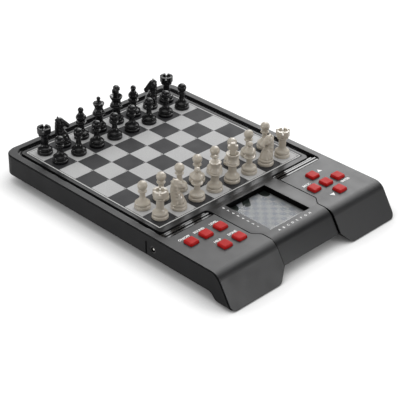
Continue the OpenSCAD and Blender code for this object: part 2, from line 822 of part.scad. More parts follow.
module key_boards() {
    color("green") for (side = [0, 1]) {
        c = key_centre(side);
        h = key_half(side);
        slab(c[0] - h[0], c[1] - h[1], key_z, c[0] + h[0], c[1] + h[1], key_z + pcb_t);
    }
}

module dome_mats() {
    color("dimgray") for (side = [0, 1]) {
        c = key_centre(side);
        h = key_half(side);
        slab(c[0] - h[0] + 1, c[1] - h[1] + 1, key_z + pcb_t, c[0] + h[0] - 1, c[1] + h[1] - 1,
             key_z + pcb_t + mat_t);
        for (p = key_list(side)) translate([p[0], p[1], key_z + pcb_t + mat_t - eps])
            cylinder(r1 = 4, r2 = 2.6, h = dome_h + eps);
    }
}

module loudspeaker() {
    rise = speaker_h / 2;
    color("dimgray") translate([cross_cx, cross_cy, floor_z]) {
        difference() {
            cylinder(d = speaker_d, h = rise);
            translate([0, 0, -1]) cylinder(d = speaker_d - 5, h = rise);
        }
        translate([0, 0, rise - eps]) cylinder(d = speaker_d / 2, h = rise + eps);
    }
}

// Box with a round nose in the case's hole, a bore for the plug and a centre pin
module dc_inlet() {
    nose_d = jack_hole_d - 0.4;
    body_l = jack_bore_l + 2.5 - wall;
    translate([-side_x, board_y0 - jack_front, jack_z]) rotate([0, 90, 0]) {
        color("black") difference() {
            union() {
                translate([0, 0, 0.4]) cylinder(d = nose_d, h = wall);
                translate([-4.5, -5.5, wall]) cube([9, 11, body_l]);
            }
            translate([0, 0, -1]) cylinder(d = jack_bore_d, h = jack_bore_l + 1.4);
        }
        color("silver") translate([0, 0, 1.4]) cylinder(d = jack_pin_d, h = jack_bore_l);
    }
}

module battery_cells() {
    for (i = [0:cell_n - 1]) {
        dir = i % 2 == 0 ? 1 : -1;
        translate([0, bay_y + (i - (cell_n - 1) / 2) * (cell_d + cell_gap), floor_z + 0.3 + cell_d / 2])
            rotate([0, 90, 0]) color("goldenrod") {
                translate([0, 0, -cell_l / 2 + (dir < 0 ? 1 : 0)]) cylinder(d = cell_d, h = cell_l - 1);
                translate([0, 0, dir > 0 ? cell_l / 2 - 1 - eps : -cell_l / 2]) cylinder(d = 5.4, h = 1 + eps);
            }
    }
}

// Contact plates at both ends of the bay, each with a pad against its cell
module battery_contacts() {
    plate_t = 0.5;
    plate_w = cell_d - 4;
    color("silver") for (i = [0:cell_n - 1], side = [0, 1]) mirror([side, 0, 0])
        translate([0, bay_y + (i - (cell_n - 1) / 2) * (cell_d + cell_gap), floor_z + 0.3 + cell_d / 2]) {
            slab(bay_w / 2 - plate_t, -plate_w / 2, -plate_w / 2, bay_w / 2, plate_w / 2, plate_w / 2);
            translate([cell_l / 2, 0, 0]) rotate([0, 90, 0]) cylinder(d = 4.5, h = (bay_w - cell_l) / 2 - eps);
        }
}

// Door under the cells, with a ribbed thumb grip
module battery_door() {
    color(case_tone) translate([0, bay_y, 0]) difference() {
        slab(-door_w / 2, -door_d / 2, rear_clear, door_w / 2, door_d / 2, floor_z);
        for (i = [0:3]) slab(-8, -door_d / 2 + 3 + i * 2, rear_clear - 1, 8, -door_d / 2 + 4 + i * 2, rear_clear + 0.7);
    }
}

module case_screws() {
    color("silver") for (p = concat(deck_posts, wing_posts)) translate([p[0], p[1], rear_clear + screw_head_h + 0.6]) {
        translate([0, 0, -screw_head_h]) difference() {
            cylinder(d = screw_head_d, h = screw_head_h);
            for (a = [0, 90]) rotate([0, 0, a]) translate([-1.6, -0.3, -1]) cube([3.2, 0.6, 1.9]);
        }
        translate([0, 0, -eps]) cylinder(d = screw_d, h = post_split_z + screw_len - 2.2 - rear_clear - screw_head_h);
    }
}

module rubber_feet() {
    color("black") {
        for (p = leg_at) translate([p[0], p[1], 0]) cylinder(d = foot_d, h = foot_h + foot_seat);
        for (p = pad_at) slab(p[0] - pad_w / 2, p[1] - pad_d / 2, 0, p[0] + pad_w / 2, p[1] + pad_d / 2,
                              toe_clear + foot_seat);
    }
}

// ---------- buttons ----------

module button(p) {
    half = button_w / 2;
    stem_h = flange_z - flange_t - stem_z;
    color("firebrick") translate([p[0], p[1], 0]) {
        intersection() {
            translate([0, 0, flange_z - eps]) linear_extrude(cover_z + button_h - flange_z + eps)
                round_rect(-half, -half, half, half, button_r);
            // Four sloping edges round the face, from the two side views
            for_both_views() polygon([[-half, flange_z - 1], [half, flange_z - 1], [half, cover_z + button_h * 0.45],
                                      [half - button_bevel, cover_z + button_h],
                                      [-half + button_bevel, cover_z + button_h],
                                      [-half, cover_z + button_h * 0.45]]);
        }
        translate([0, 0, flange_z - flange_t]) linear_extrude(flange_t)
            round_rect(-half - flange_w, -half - flange_w, half + flange_w, half + flange_w, button_r);
        translate([0, 0, stem_z]) cylinder(r = stem_r, h = stem_h + eps);
    }
}

// Intersects one upright outline seen from the front with the same outline seen from the side
module for_both_views() {
    intersection() {
        translate([0, button_w, 0]) rotate([90, 0, 0]) linear_extrude(2 * button_w) children();
        translate([-button_w, 0, 0]) rotate([90, 0, 90]) linear_extrude(2 * button_w) children();
    }
}

// ---------- chess men ----------

// Points of an arc round [r, z], from angle a to b
function arc(r, z, radius, a, b, n = 6) =
    [for (i = [0:n]) [r + radius * cos(a + (b - a) * i / n), z + radius * sin(a + (b - a) * i / n)]];

// Points of a soft curve from one radius and height to another
function bell(r0, z0, r1, z1, n = 7) =
    [for (i = [0:n]) [r1 + (r0 - r1) * (1 + cos(180 * i / n)) / 2, z0 + (z1 - z0) * i / n]];

// Points of a hollow curve that leaves one radius at a slant and settles at another
function flare(r0, z0, r1, z1, n = 7) =
    [for (i = [0:n]) [r1 + (r0 - r1) * pow(1 - i / n, 3), z0 + (z1 - z0) * i / n]];

// The foot that every man has: plinth, groove and bulge
bulge_half = bulge_h / 2;
bulge_r = base_r - bulge_half - 0.5;
bulge_z = plinth_h + 0.3 + bulge_half;
bulge_end = 58;
foot_top_r = bulge_r + bulge_half * cos(bulge_end);
foot_top_z = bulge_z + bulge_half * sin(bulge_end);
function man_foot() = concat(
    [[0, 0], [base_r - 0.4, 0], [base_r, 0.4], [base_r, plinth_h - 0.4], [base_r - 0.3, plinth_h],
     [base_r - 1, plinth_h + 0.3], [base_r - 1, plinth_h + 0.6]],
    arc(bulge_r, bulge_z, bulge_half, -50, bulge_end, 5));

function pawn_line() = let (hz = pawn_h - pawn_head_r) concat(
    man_foot(),
    flare(foot_top_r, foot_top_z, 2.7, hz - 9.2),
    [[2.7, hz - 7.4]], arc(3.7, hz - 6.2, 0.9, -80, 80, 4), [[3.2, hz - 4.8]],
    arc(0, hz, pawn_head_r, -54, 90, 10));

function rook_line() = let (n = 12.5, c = rook_h - 6) concat(
    man_foot(),
    flare(foot_top_r, foot_top_z, 3.9, n),
    [[3.9, c - 4.6], [4.5, c - 3.8]], arc(5.1, c - 2.6, 1, -80, 80, 4), [[5.6, c - 1.5]],
    bell(5.7, c - 1.4, rook_head_r, c + 0.2, 5),
    [[rook_head_r, rook_h - 0.3], [rook_head_r - 0.3, rook_h], [rook_hollow_r, rook_h],
     [rook_hollow_r - 0.4, rook_h - 3], [0, rook_h - 3.6]]);

function bishop_line() = let (n = 12.6) concat(
    man_foot(),
    flare(foot_top_r, foot_top_z, 3.1, n),
    [[3.1, n + 3]], bell(3.2, n + 3.4, 5.3, n + 4.8, 4),
    arc(5.3, n + 5.5, 0.75, -80, 80, 4), [[4.4, n + 6.5]], bell(4.3, n + 6.7, 4, n + 7.5, 3),
    bell(4, n + 7.8, 5.6, n + 10.6, 4), bell(5.6, n + 11.6, 2.6, bishop_h - 5.7, 6),
    arc(0, bishop_h - 3.1, 3.1, -50, 90, 7));

function queen_line() = let (n = 13.6) concat(
    man_foot(),
    flare(foot_top_r, foot_top_z, 4.1, n),
    [[4.1, n + 2.2]], bell(4.2, n + 2.6, 6.2, n + 4.8, 4), arc(6.1, n + 5.8, 1, -80, 80, 4),
    arc(5.6, n + 7.8, 0.8, -80, 80, 4), bell(5.5, n + 8.8, 4.4, n + 12.8, 4),
    bell(4.4, n + 13.2, 6.1, queen_h - 7.9, 5),
    [[6.3, queen_h - 7.5], [6.1, queen_h - 7.1], [5.3, queen_h - 7.3], [4.2, queen_h - 7.4],
     [3.3, queen_h - 6.8], [2.6, queen_h - 5.4], [1.8, queen_h - 4.1]],
    arc(0, queen_h - 2.2, 2.2, -45, 90, 6));

function king_line() = let (n = 14, c = king_h - 13.4) concat(
    man_foot(),
    flare(foot_top_r, foot_top_z, 4.2, n),
    [[4.2, n + 2.6]], bell(4.3, n + 3, 6.2, n + 5, 4), arc(6.1, n + 6, 1, -80, 80, 4),
    arc(5.6, n + 8.1, 0.8, -80, 80, 4), bell(5.5, n + 9, 4.8, c - 4.8, 4),
    bell(4.8, c - 4.4, 7, c + 1, 6),
    [[7, c + 1.5], [6.3, c + 1.7], [4, c + 0.4], [2.2, c - 0.4], [0, c - 0.5]]);

// The four-armed finial that stands in the king's crown
module king_cross() {
    c = king_h - 13.4;
    arm = 5.2;
    mid_z = king_h - 4.9;
    translate([0, 2.4, 0]) rotate([90, 0, 0]) linear_extrude(4.8) {
        polygon([[-3, c - 0.6], [3, c - 0.6], [3.1, c + 2.6], [2.8, mid_z - 1.6], [-2.8, mid_z - 1.6],
                 [-3.1, c + 2.6]]);
        for (a = [0, 90, 270]) translate([0, mid_z]) rotate(a)
            let (reach = a == 0 ? king_h - mid_z : arm)
                polygon([[-2, 0], [2, 0], [2.3, reach], [-2.3, reach]]);
        translate([-2.8, mid_z - 1.8]) square([5.6, 3.6]);
    }
}

// Side view of a horse's neck and head that looks along +X
module horse_side() {
    k = knight_h;
    polygon([[-7, foot_top_z - 0.4], [-7.7, 11], [-8.2, 17], [-8.2, k - 12.5], [-7.6, k - 7.5], [-6.4, k - 3.2], [-5, k],
             [-3.4, k - 2], [-0.6, k - 3], [2.6, k - 5.4], [5.6, k - 8.6], [7.4, k - 11.2], [7.4, k - 13.2],
             [6.2, k - 14.8], [4.4, k - 15], [2.4, k - 13.7], [0.5, k - 14.1], [0.4, k - 17], [2.6, k - 20],
             [5.4, k - 23], [6.8, 9.2], [7, foot_top_z - 0.4]]);
}

// Front view of the same neck and head: wide at the chest, slim at the ears
module horse_front() {
    t = knight_t / 2;
    polygon([[-7, foot_top_z - 0.5], [7, foot_top_z - 0.5], [6.3, 11], [t + 0.6, 15], [t, 22], [t - 0.6, knight_h - 6],
             [t - 1.4, knight_h + 1], [-t + 1.4, knight_h + 1], [-t + 0.6, knight_h - 6], [-t, 22],
             [-t - 0.6, 15], [-6.3, 11]]);
}

module knight_man() {
    rotate_extrude() polygon(concat(man_foot(), [[0, foot_top_z]]));
    intersection() {
        translate([0, 9, 0]) rotate([90, 0, 0]) linear_extrude(18) horse_side();
        translate([-10, 0, 0]) rotate([90, 0, 90]) linear_extrude(20) horse_front();
    }
}

module bishop_man() {
    difference() {
        rotate_extrude() polygon(bishop_line());
        translate([2.2, 0, bishop_h - 9.5]) rotate([0, -40, 0]) translate([0, -6, -0.5]) cube([7, 12, 1]);
    }
}

module rook_man() {
    difference() {
        rotate_extrude() polygon(rook_line());
        for (i = [0:rook_gaps / 2 - 1]) rotate([0, 0, 45 + i * 360 / rook_gaps])
            translate([-10, -1.1, rook_h - 2.2]) cube([20, 2.2, 3]);
    }
}

module man(kind, turn = 0) {
    rotate([0, 0, turn]) {
        if (kind == "pawn") rotate_extrude() polygon(pawn_line());
        if (kind == "rook") rook_man();
        if (kind == "knight") knight_man();
        if (kind == "bishop") bishop_man();
        if (kind == "queen") rotate_extrude() polygon(queen_line());
        if (kind == "king") {
            rotate_extrude() polygon(king_line());
            king_cross();
        }
    }
}

// Stands a man on its square; side 0 is white
module stand(side, kind, i, rank, turn = 0) {
    color(side == 0 ? white_tone : black_tone)
        translate([-board_w / 2 + (i + 0.5) * square, board_y0 + (rank - 0.5) * square, board_z]) man(kind, turn);
}

function man_turn(side, i) =
    i == 1 ? knight_b_turn : i == 6 ? knight_g_turn : i == 4 ? (side == 0 ? -45 : 20)
    : i == 2 || i == 5 ? -20 : 0;

lower_case();
outer_cover();
console_deck();
channel_frame();
board_sheet();
sensor_sheet();
display_window();
display_module();
main_board();
key_boards();
dome_mats();
loudspeaker();
dc_inlet();
battery_cells();
battery_contacts();
battery_door();
case_screws();
rubber_feet();
for (b = [0:len(button_names) - 1])
    button(button_at[b]);
for (s = [0:1], i = [0:7]) {
    stand(s, "pawn", i, pawn_rank[s]);
    stand(s, back_rank[i], i, home_rank[s], man_turn(s, i));
}
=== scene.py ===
import math

import bmesh
import bpy
import numpy as np
from mathutils import Euler, Matrix, Vector


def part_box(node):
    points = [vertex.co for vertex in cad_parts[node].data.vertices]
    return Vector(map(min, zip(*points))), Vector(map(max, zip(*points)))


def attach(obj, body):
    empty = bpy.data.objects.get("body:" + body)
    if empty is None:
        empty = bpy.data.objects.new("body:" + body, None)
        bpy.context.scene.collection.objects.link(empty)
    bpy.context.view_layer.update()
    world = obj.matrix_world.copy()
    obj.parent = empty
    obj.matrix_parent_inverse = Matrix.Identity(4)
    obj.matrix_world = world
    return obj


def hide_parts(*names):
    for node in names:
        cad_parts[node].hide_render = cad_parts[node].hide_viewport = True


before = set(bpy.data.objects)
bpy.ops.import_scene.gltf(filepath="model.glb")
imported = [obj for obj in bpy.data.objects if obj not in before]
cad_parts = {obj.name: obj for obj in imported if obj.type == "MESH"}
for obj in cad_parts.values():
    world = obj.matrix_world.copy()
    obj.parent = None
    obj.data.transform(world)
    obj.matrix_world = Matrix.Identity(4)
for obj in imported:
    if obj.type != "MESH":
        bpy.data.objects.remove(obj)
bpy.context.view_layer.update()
mm = 0.001

# Places taken from the frame, in metres.
sheetLow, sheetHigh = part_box("board_sheet")
boardTop = sheetHigh.z
squareSize = 0.025
boardMiddleY = (sheetLow.y + sheetHigh.y) / 2
boardFrontY = boardMiddleY - 4 * squareSize
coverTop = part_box("outer_cover")[1].z
windowLow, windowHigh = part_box("display_window")


# Builds the nodes of one material or world.
class Nodes:

    def __init__(self, owner):
        owner.use_nodes = True
        self.tree = owner.node_tree
        self.tree.nodes.clear()

    def add(self, kind, inputs=None, **settings):
        node = self.tree.nodes.new(kind)
        for name, value in settings.items():
            setattr(node, name, value)
        for key, value in (inputs or {}).items():
            self.feed(node.inputs[key], value)
        return node

    # A socket gets a link from another node's output, or a plain value.
    def feed(self, socket, value):
        if isinstance(value, bpy.types.NodeSocket):
            self.tree.links.new(value, socket)
        else:
            socket.default_value = value

    def math(self, operation, a, b=0.0, clamp=False):
        return self.add("ShaderNodeMath", {0: a, 1: b}, operation=operation, use_clamp=clamp).outputs[0]

    def vector(self, operation, a, b=(0, 0, 0)):
        node = self.add("ShaderNodeVectorMath", {0: a, 1: b}, operation=operation)
        return node.outputs["Value" if operation in ("LENGTH", "DOT_PRODUCT") else "Vector"]

    def place(self):
        return self.add("ShaderNodeTexCoord").outputs["Object"]

    # The X, Y and Z of a vector.
    def split(self, vector):
        return self.add("ShaderNodeSeparateXYZ", {0: vector}).outputs

    def mixColour(self, factor, a, b):
        node = self.add("ShaderNodeMix", {"Factor": factor}, data_type="RGBA")
        self.feed(node.inputs[6], a)
        self.feed(node.inputs[7], b)
        return node.outputs[2]

    def scaled(self, colour, factor):
        return self.add("ShaderNodeVectorMath", {0: colour, "Scale": factor}, operation="SCALE").outputs[0]

    def noise(self, scale, detail=3.0, roughness=0.5, stretch=(1, 1, 1)):
        place = self.place()
        if stretch != (1, 1, 1):
            place = self.vector("MULTIPLY", place, stretch)
        return self.add("ShaderNodeTexNoise", {"Vector": place, "Scale": scale, "Detail": detail,
                                               "Roughness": roughness}).outputs[0]

    # The noise runs from about 0.3 to 0.7, which is spread from low to high.
    def ramp(self, value, low, high):
        return self.add("ShaderNodeMapRange", {"Value": value, "From Min": 0.3, "From Max": 0.7,
                                               "To Min": low, "To Max": high}).outputs[0]

    def drifting(self, scale, detail, low, high):
        return self.ramp(self.noise(scale, detail), low, high)

    def bump(self, scale, strength):
        return self.add("ShaderNodeBump", {"Height": self.noise(scale, 2), "Strength": strength,
                                           "Distance": 0.0001}).outputs[0]

    # 1 where two cell numbers add up to an odd number.
    def odd(self, column, row):
        return self.math("MODULO", self.math("ADD", self.math("ADD", column, row), 64.0), 2.0)

    # 1 for rays that see or mirror a thing, and 0 for those that only light it.
    def seenRay(self):
        rays = self.add("ShaderNodeLightPath").outputs
        mirrored = self.math("MAXIMUM", rays["Is Glossy Ray"], rays["Is Transmission Ray"])
        return self.math("MAXIMUM", rays["Is Camera Ray"], mirrored)

    def surface(self, inputs):
        shader = self.add("ShaderNodeBsdfPrincipled", inputs)
        self.add("ShaderNodeOutputMaterial", {"Surface": shader.outputs[0]})


def grey(value):
    return (value, value, value, 1)


def newMaterial(name):
    material = bpy.data.materials.new(name)
    return material, Nodes(material)


# Moulded plastic: the colour and the roughness drift a little with noise, and a fine noise is its grain.
def plastic(name, look):
    material, nodes = newMaterial(name)
    low = tuple(c * (1 - look["drift"]) for c in look["colour"]) + (1,)
    high = tuple(min(1, c * (1 + look["drift"])) for c in look["colour"]) + (1,)
    colour = nodes.mixColour(nodes.drifting(40, 4, 0, 1), low, high)
    gloss = 0.5
    # Painted shade: inside the box given by its middle and its half sides the plastic is dark and dull, for
    # seams and recesses that lie in shade.
    if "paintedShadeBox" in look:
        middle, half = look["paintedShadeBox"]
        fromMiddle = nodes.vector("ABSOLUTE", nodes.vector("SUBTRACT", nodes.place(), middle))
        pastX, pastY, pastZ = nodes.split(nodes.vector("SUBTRACT", fromMiddle, half))
        past = nodes.math("MAXIMUM", nodes.math("MAXIMUM", pastX, pastY), pastZ)
        inside = nodes.math("LESS_THAN", past, 0.0)
        colour = nodes.mixColour(inside, colour, look["paintedShadeColour"])
        gloss = nodes.ramp(inside, 0.5, 0.1)
    nodes.surface({
        "Base Color": colour, "Roughness": nodes.drifting(look.get("roughScale", 180), 3, *look["rough"]),
        "Normal": nodes.bump(look["grainScale"], look["grain"]), "IOR": look.get("ior", 1.5),
        "Specular IOR Level": gloss, "Metallic": look.get("metal", 0.0),
        "Coat Weight": look.get("coat", 0.0), "Coat Roughness": look.get("coatRough", 0.1),
        "Subsurface Weight": look.get("glow", 0.0), "Subsurface Radius": (1, 0.8, 0.6),
        "Subsurface Scale": look.get("glowDepth", 0.001)})
    return material


def dress(thing, material):
    thing.data.materials.clear()
    thing.data.materials.append(material)


# An object for a mesh, which rides on a body and takes its finish from a slot.
def placed(name, mesh, material, body):
    piece = bpy.data.objects.new(name, mesh)
    bpy.context.scene.collection.objects.link(piece)
    dress(piece, material)
    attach(piece, body)
    return piece


def meshPiece(name, points, faces, material, body, smoothAngle=None):
    mesh = bpy.data.meshes.new(name)
    mesh.from_pydata(points, [], faces)
    mesh.update()
    mesh.shade_smooth()
    if smoothAngle:
        mesh.set_sharp_from_angle(angle=math.radians(smoothAngle))
    return placed(name, mesh, material, body)


# Quads between the rows of a grid whose columns close into a ring.
def gridFaces(rows, columns):
    i, j = np.meshgrid(np.arange(rows - 1), np.arange(columns), indexing="ij")
    k = (j + 1) % columns
    quads = np.stack([i * columns + j, i * columns + k, (i + 1) * columns + k, (i + 1) * columns + j], -1)
    return quads.reshape(-1, 4)


# A closed skin over rings of points, from the lowest to the highest, with a fan at each end.
def ringSurface(rings):
    rows, columns, _ = rings.shape
    points = np.concatenate([rings.reshape(-1, 3), rings[0].mean(0)[None], rings[-1].mean(0)[None]])
    j = np.arange(columns)
    k = (j + 1) % columns
    low, high = rows * columns, rows * columns + 1
    foot = np.stack([np.full(columns, low), k, j], -1)
    top = np.stack([np.full(columns, high), (rows - 1) * columns + j, (rows - 1) * columns + k], -1)
    return points, gridFaces(rows, columns).tolist() + foot.tolist() + top.tolist()


# The case, the channel, the men and the buttons.
caseLook = {"colour": (0.015, 0.0152, 0.016), "drift": 0.08, "rough": (0.38, 0.45), "roughScale": 60,
            "grainScale": 1500, "grain": 0.16, "ior": 1.37}
# The lower case's walls: the case plastic made darker and duller, painted shade for sides that face away from
# the light.
shadedSideLook = dict(caseLook, colour=(0.0125, 0.0125, 0.013), rough=(0.46, 0.54), ior=1.2)
# The cover's wing edges beside the console's front slope get painted shade for the seam gap.
coverLook = dict(caseLook, paintedShadeBox=((0, -0.153, 0.0165), (0.0412, 0.0185, 0.0163)),
                 paintedShadeColour=grey(0.002))
# The console's shaft round the display window gets painted shade on its recess walls.
consoleLook = dict(caseLook, rough=(0.3, 0.36), ior=1.3, paintedShadeColour=grey(0.003), paintedShadeBox=(
    (0, (windowLow.y + windowHigh.y) / 2, 0.0267), (0.0312, 0.0334, 0.0064)))
channelLook = {"colour": (0.008, 0.008, 0.0085), "drift": 0.1, "rough": (0.1, 0.15), "grainScale": 900,
               "grain": 0.03}
whiteManLook = {"colour": (0.47, 0.425, 0.355), "drift": 0.05, "rough": (0.26, 0.36), "grainScale": 700,
                "grain": 0.03, "coat": 0.35, "coatRough": 0.1, "glow": 0.1, "glowDepth": 0.0015}
blackManLook = {"colour": (0.006, 0.006, 0.0065), "drift": 0.15, "rough": (0.16, 0.24),
                "grainScale": 700, "grain": 0.02, "ior": 1.4}
buttonLook = {"colour": (0.42, 0.0085, 0.008), "drift": 0.06, "rough": (0.4, 0.48), "grainScale": 1400,
              "grain": 0.08, "ior": 1.2}
# What lies inside, and the printed inks.
rubberLook = {"colour": (0.02, 0.02, 0.021), "drift": 0.15, "rough": (0.75, 0.9), "grainScale": 1600,
              "grain": 0.4}
steelLook = {"colour": (0.55, 0.55, 0.56), "drift": 0.06, "rough": (0.22, 0.36), "grainScale": 900,
             "grain": 0.08, "metal": 1.0}
circuitLook = {"colour": (0.02, 0.10, 0.045), "drift": 0.2, "rough": (0.35, 0.5), "grainScale": 500,
               "grain": 0.2}
filmLook = {"colour": (0.10, 0.16, 0.09), "drift": 0.15, "rough": (0.3, 0.4), "grainScale": 400,
            "grain": 0.05}
coneLook = {"colour": (0.03, 0.03, 0.032), "drift": 0.2, "rough": (0.6, 0.8), "grainScale": 900,
            "grain": 0.3}
inkLook = {"colour": (0.86, 0.86, 0.85), "drift": 0.02, "rough": (0.45, 0.55), "grainScale": 2000,
           "grain": 0.04}
darkInkLook = dict(inkLook, colour=(0.05, 0.05, 0.05), drift=0.05)

channelPlastic = plastic("channelPlastic", channelLook)
whiteManPlastic = plastic("whiteManPlastic", whiteManLook)
blackManPlastic = plastic("blackManPlastic", blackManLook)
buttonPlastic = plastic("buttonPlastic", buttonLook)
blackRubber = plastic("blackRubber", rubberLook)
platedSteel = plastic("platedSteel", steelLook)
circuitGreen = plastic("circuitGreen", circuitLook)
whiteInk = plastic("whiteInk", inkLook)
paleInk = plastic("paleInk", dict(inkLook, colour=(0.22, 0.22, 0.22)))
darkInk = plastic("darkInk", darkInkLook)

boardLook = {"light": grey(0.49), "dark": (0.030, 0.030, 0.032, 1), "line": (0.6, 0.6, 0.59, 1),
             "margin": (0.043, 0.044, 0.046, 1), "squaresHalf": 0.0996, "squaresCorner": 0.0002,
             "lineIn": 0.1003, "lineInCorner": 0.0007, "lineOut": 0.1015, "lineOutCorner": 0.0015,
             "fleckScale": 900, "fleck": (0.9, 1.1), "rough": (0.5, 0.62), "ior": 1.27,
             "grainScale": 1500, "grain": 0.12}


# 64 squares by the parity of their cell numbers, and a white line and a dark margin by distance.
def boardPrint(look):
    material, nodes = newMaterial("boardPrint")
    flat = nodes.vector("MULTIPLY", nodes.vector("SUBTRACT", nodes.place(), (0, boardMiddleY, 0)),
                        (1, 1, 0))
    column, row, _ = nodes.split(nodes.vector("FLOOR", nodes.vector(
        "MULTIPLY", flat, (1 / squareSize, 1 / squareSize, 0))))

    # 1 outside a square with round corners.
    def outside(half, corner):
        over = nodes.vector("SUBTRACT", nodes.vector("ABSOLUTE", flat), (half - corner, half - corner, 0))
        reach = nodes.vector("LENGTH", nodes.vector("MAXIMUM", over, (0, 0, 0)))
        return nodes.math("GREATER_THAN", reach, corner)

    colour = nodes.mixColour(nodes.odd(column, row), look["dark"], look["light"])
    colour = nodes.mixColour(outside(look["squaresHalf"], look["squaresCorner"]), colour, look["margin"])
    inLine = nodes.math("MULTIPLY", outside(look["lineIn"], look["lineInCorner"]),
                        nodes.math("SUBTRACT", 1.0, outside(look["lineOut"], look["lineOutCorner"])))
    colour = nodes.mixColour(inLine, colour, look["line"])
    fleck = nodes.ramp(nodes.noise(look["fleckScale"], 3, 0.6, (1, 1, 0.2)), *look["fleck"])
    nodes.surface({"Base Color": nodes.scaled(colour, fleck), "IOR": look["ior"],
                   "Roughness": nodes.drifting(70, 4, *look["rough"]),
                   "Normal": nodes.bump(look["grainScale"], look["grain"])})
    return material


# Each patch of painted shade is a round-ended bar: its two ends in X and Y, and its radius.
lcdLook = {"light": (0.37, 0.375, 0.38, 1), "dark": (0.255, 0.275, 0.30, 1),
           "strip": (0.55, 0.555, 0.56, 1), "edge": (0.30, 0.31, 0.32, 1), "west": -0.02425,
           "south": -0.12075, "pitchX": 0.00633, "pitchY": 0.0064, "cloud": (0.95, 1.05),
           "rough": (0.45, 0.55), "ior": 1.25, "paintedShade": (0.010, 0.016, 0.013, 1),
           "paintedShadeBars": [(-0.0282, -0.0665, -0.0225, -0.0665, 0.0112),
                       (0.0040, -0.0650, -0.0030, -0.0745, 0.0042),
                       (0.0250, -0.0680, 0.0250, -0.0735, 0.0048)]}


# The liquid crystal: 64 faint squares, a pale strip in front and, behind them, dark bars of painted shade and
# reflection where the black recess darkens it.
def displayGlass(look):
    material, nodes = newMaterial("displayGlass")
    x, y, _ = nodes.split(nodes.place())
    east = look["west"] + 8 * look["pitchX"]

    def cellNumber(along, start, pitch):
        return nodes.math("FLOOR", nodes.math("DIVIDE", nodes.math("SUBTRACT", along, start), pitch))

    # 1 where the distance to the line between the bar's ends is less than its radius.
    def bar(x0, y0, x1, y1, radius):
        ax, ay = nodes.math("SUBTRACT", x, x0), nodes.math("SUBTRACT", y, y0)
        dx, dy = x1 - x0, y1 - y0
        dot = nodes.math("ADD", nodes.math("MULTIPLY", ax, dx), nodes.math("MULTIPLY", ay, dy))
        along = nodes.math("DIVIDE", dot, dx * dx + dy * dy, clamp=True)
        fx = nodes.math("SUBTRACT", ax, nodes.math("MULTIPLY", along, dx))
        fy = nodes.math("SUBTRACT", ay, nodes.math("MULTIPLY", along, dy))
        square = nodes.math("ADD", nodes.math("MULTIPLY", fx, fx), nodes.math("MULTIPLY", fy, fy))
        return nodes.math("LESS_THAN", nodes.math("SQRT", square), radius)

    odd = nodes.odd(cellNumber(x, look["west"], look["pitchX"]), cellNumber(y, look["south"], look["pitchY"]))
    colour = nodes.mixColour(odd, look["dark"], look["light"])
    beside = nodes.math("MAXIMUM", nodes.math("LESS_THAN", x, look["west"]),
                        nodes.math("GREATER_THAN", x, east))
    colour = nodes.mixColour(beside, colour, look["edge"])
    colour = nodes.mixColour(nodes.math("LESS_THAN", y, look["south"]), colour, look["strip"])
    for paintedShade in look["paintedShadeBars"]:
        colour = nodes.mixColour(bar(*paintedShade), colour, look["paintedShade"])
    nodes.surface({"Base Color": nodes.scaled(colour, nodes.drifting(500, 3, *look["cloud"])),
                   "Roughness": nodes.drifting(90, 2, *look["rough"]), "IOR": look["ior"]})
    return material


windowLook = {"tint": grey(0.1), "alpha": 0.05, "rough": (0.03, 0.07), "ior": 1.49}


# A clear sheet: almost all light passes it, and what stays is its gloss.
def clearWindow(look):
    material, nodes = newMaterial("clearWindow")
    nodes.surface({"Base Color": look["tint"], "Alpha": look["alpha"], "IOR": look["ior"],
                   "Roughness": nodes.drifting(60, 2, *look["rough"])})
    return material


inletLook = {"housing": grey(0.012), "pin": (0.72, 0.70, 0.66, 1), "pinRadius": 0.0013,
             "rough": (0.22, 0.32)}


# Black housing with a plated pin on its axis.
def inletFinish(look):
    low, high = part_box("dc_inlet")
    axis = (0, (low.y + high.y) / 2, (low.z + high.z) / 2)
    material, nodes = newMaterial("inletFinish")
    across = nodes.vector("MULTIPLY", nodes.vector("SUBTRACT", nodes.place(), axis), (0, 1, 1))
    pin = nodes.math("LESS_THAN", nodes.vector("LENGTH", across), look["pinRadius"])
    nodes.surface({"Base Color": nodes.mixColour(pin, look["housing"], look["pin"]), "Metallic": pin,
                   "Roughness": nodes.drifting(600, 2, *look["rough"])})
    return material


cellLook = {"sleeve": grey(0.03), "bands": (0.52, 0.25, 0.09, 1), "bandsFrom": 0.014, "caps": grey(0.6),
            "capsFrom": 0.0238, "metal": 0.35, "rough": (0.28, 0.4)}


# Sleeve with a dark middle and copper bands, and bare metal at its ends, by place along X.
def cellWrap(look):
    material, nodes = newMaterial("cellWrap")
    out = nodes.math("ABSOLUTE", nodes.split(nodes.place())[0])
    band = nodes.math("GREATER_THAN", out, look["bandsFrom"])
    cap = nodes.math("GREATER_THAN", out, look["capsFrom"])
    colour = nodes.mixColour(band, look["sleeve"], look["bands"])
    nodes.surface({"Base Color": nodes.mixColour(cap, colour, look["caps"]),
                   "Metallic": nodes.math("MAXIMUM", cap, look["metal"]),
                   "Roughness": nodes.drifting(400, 2, *look["rough"])})
    return material


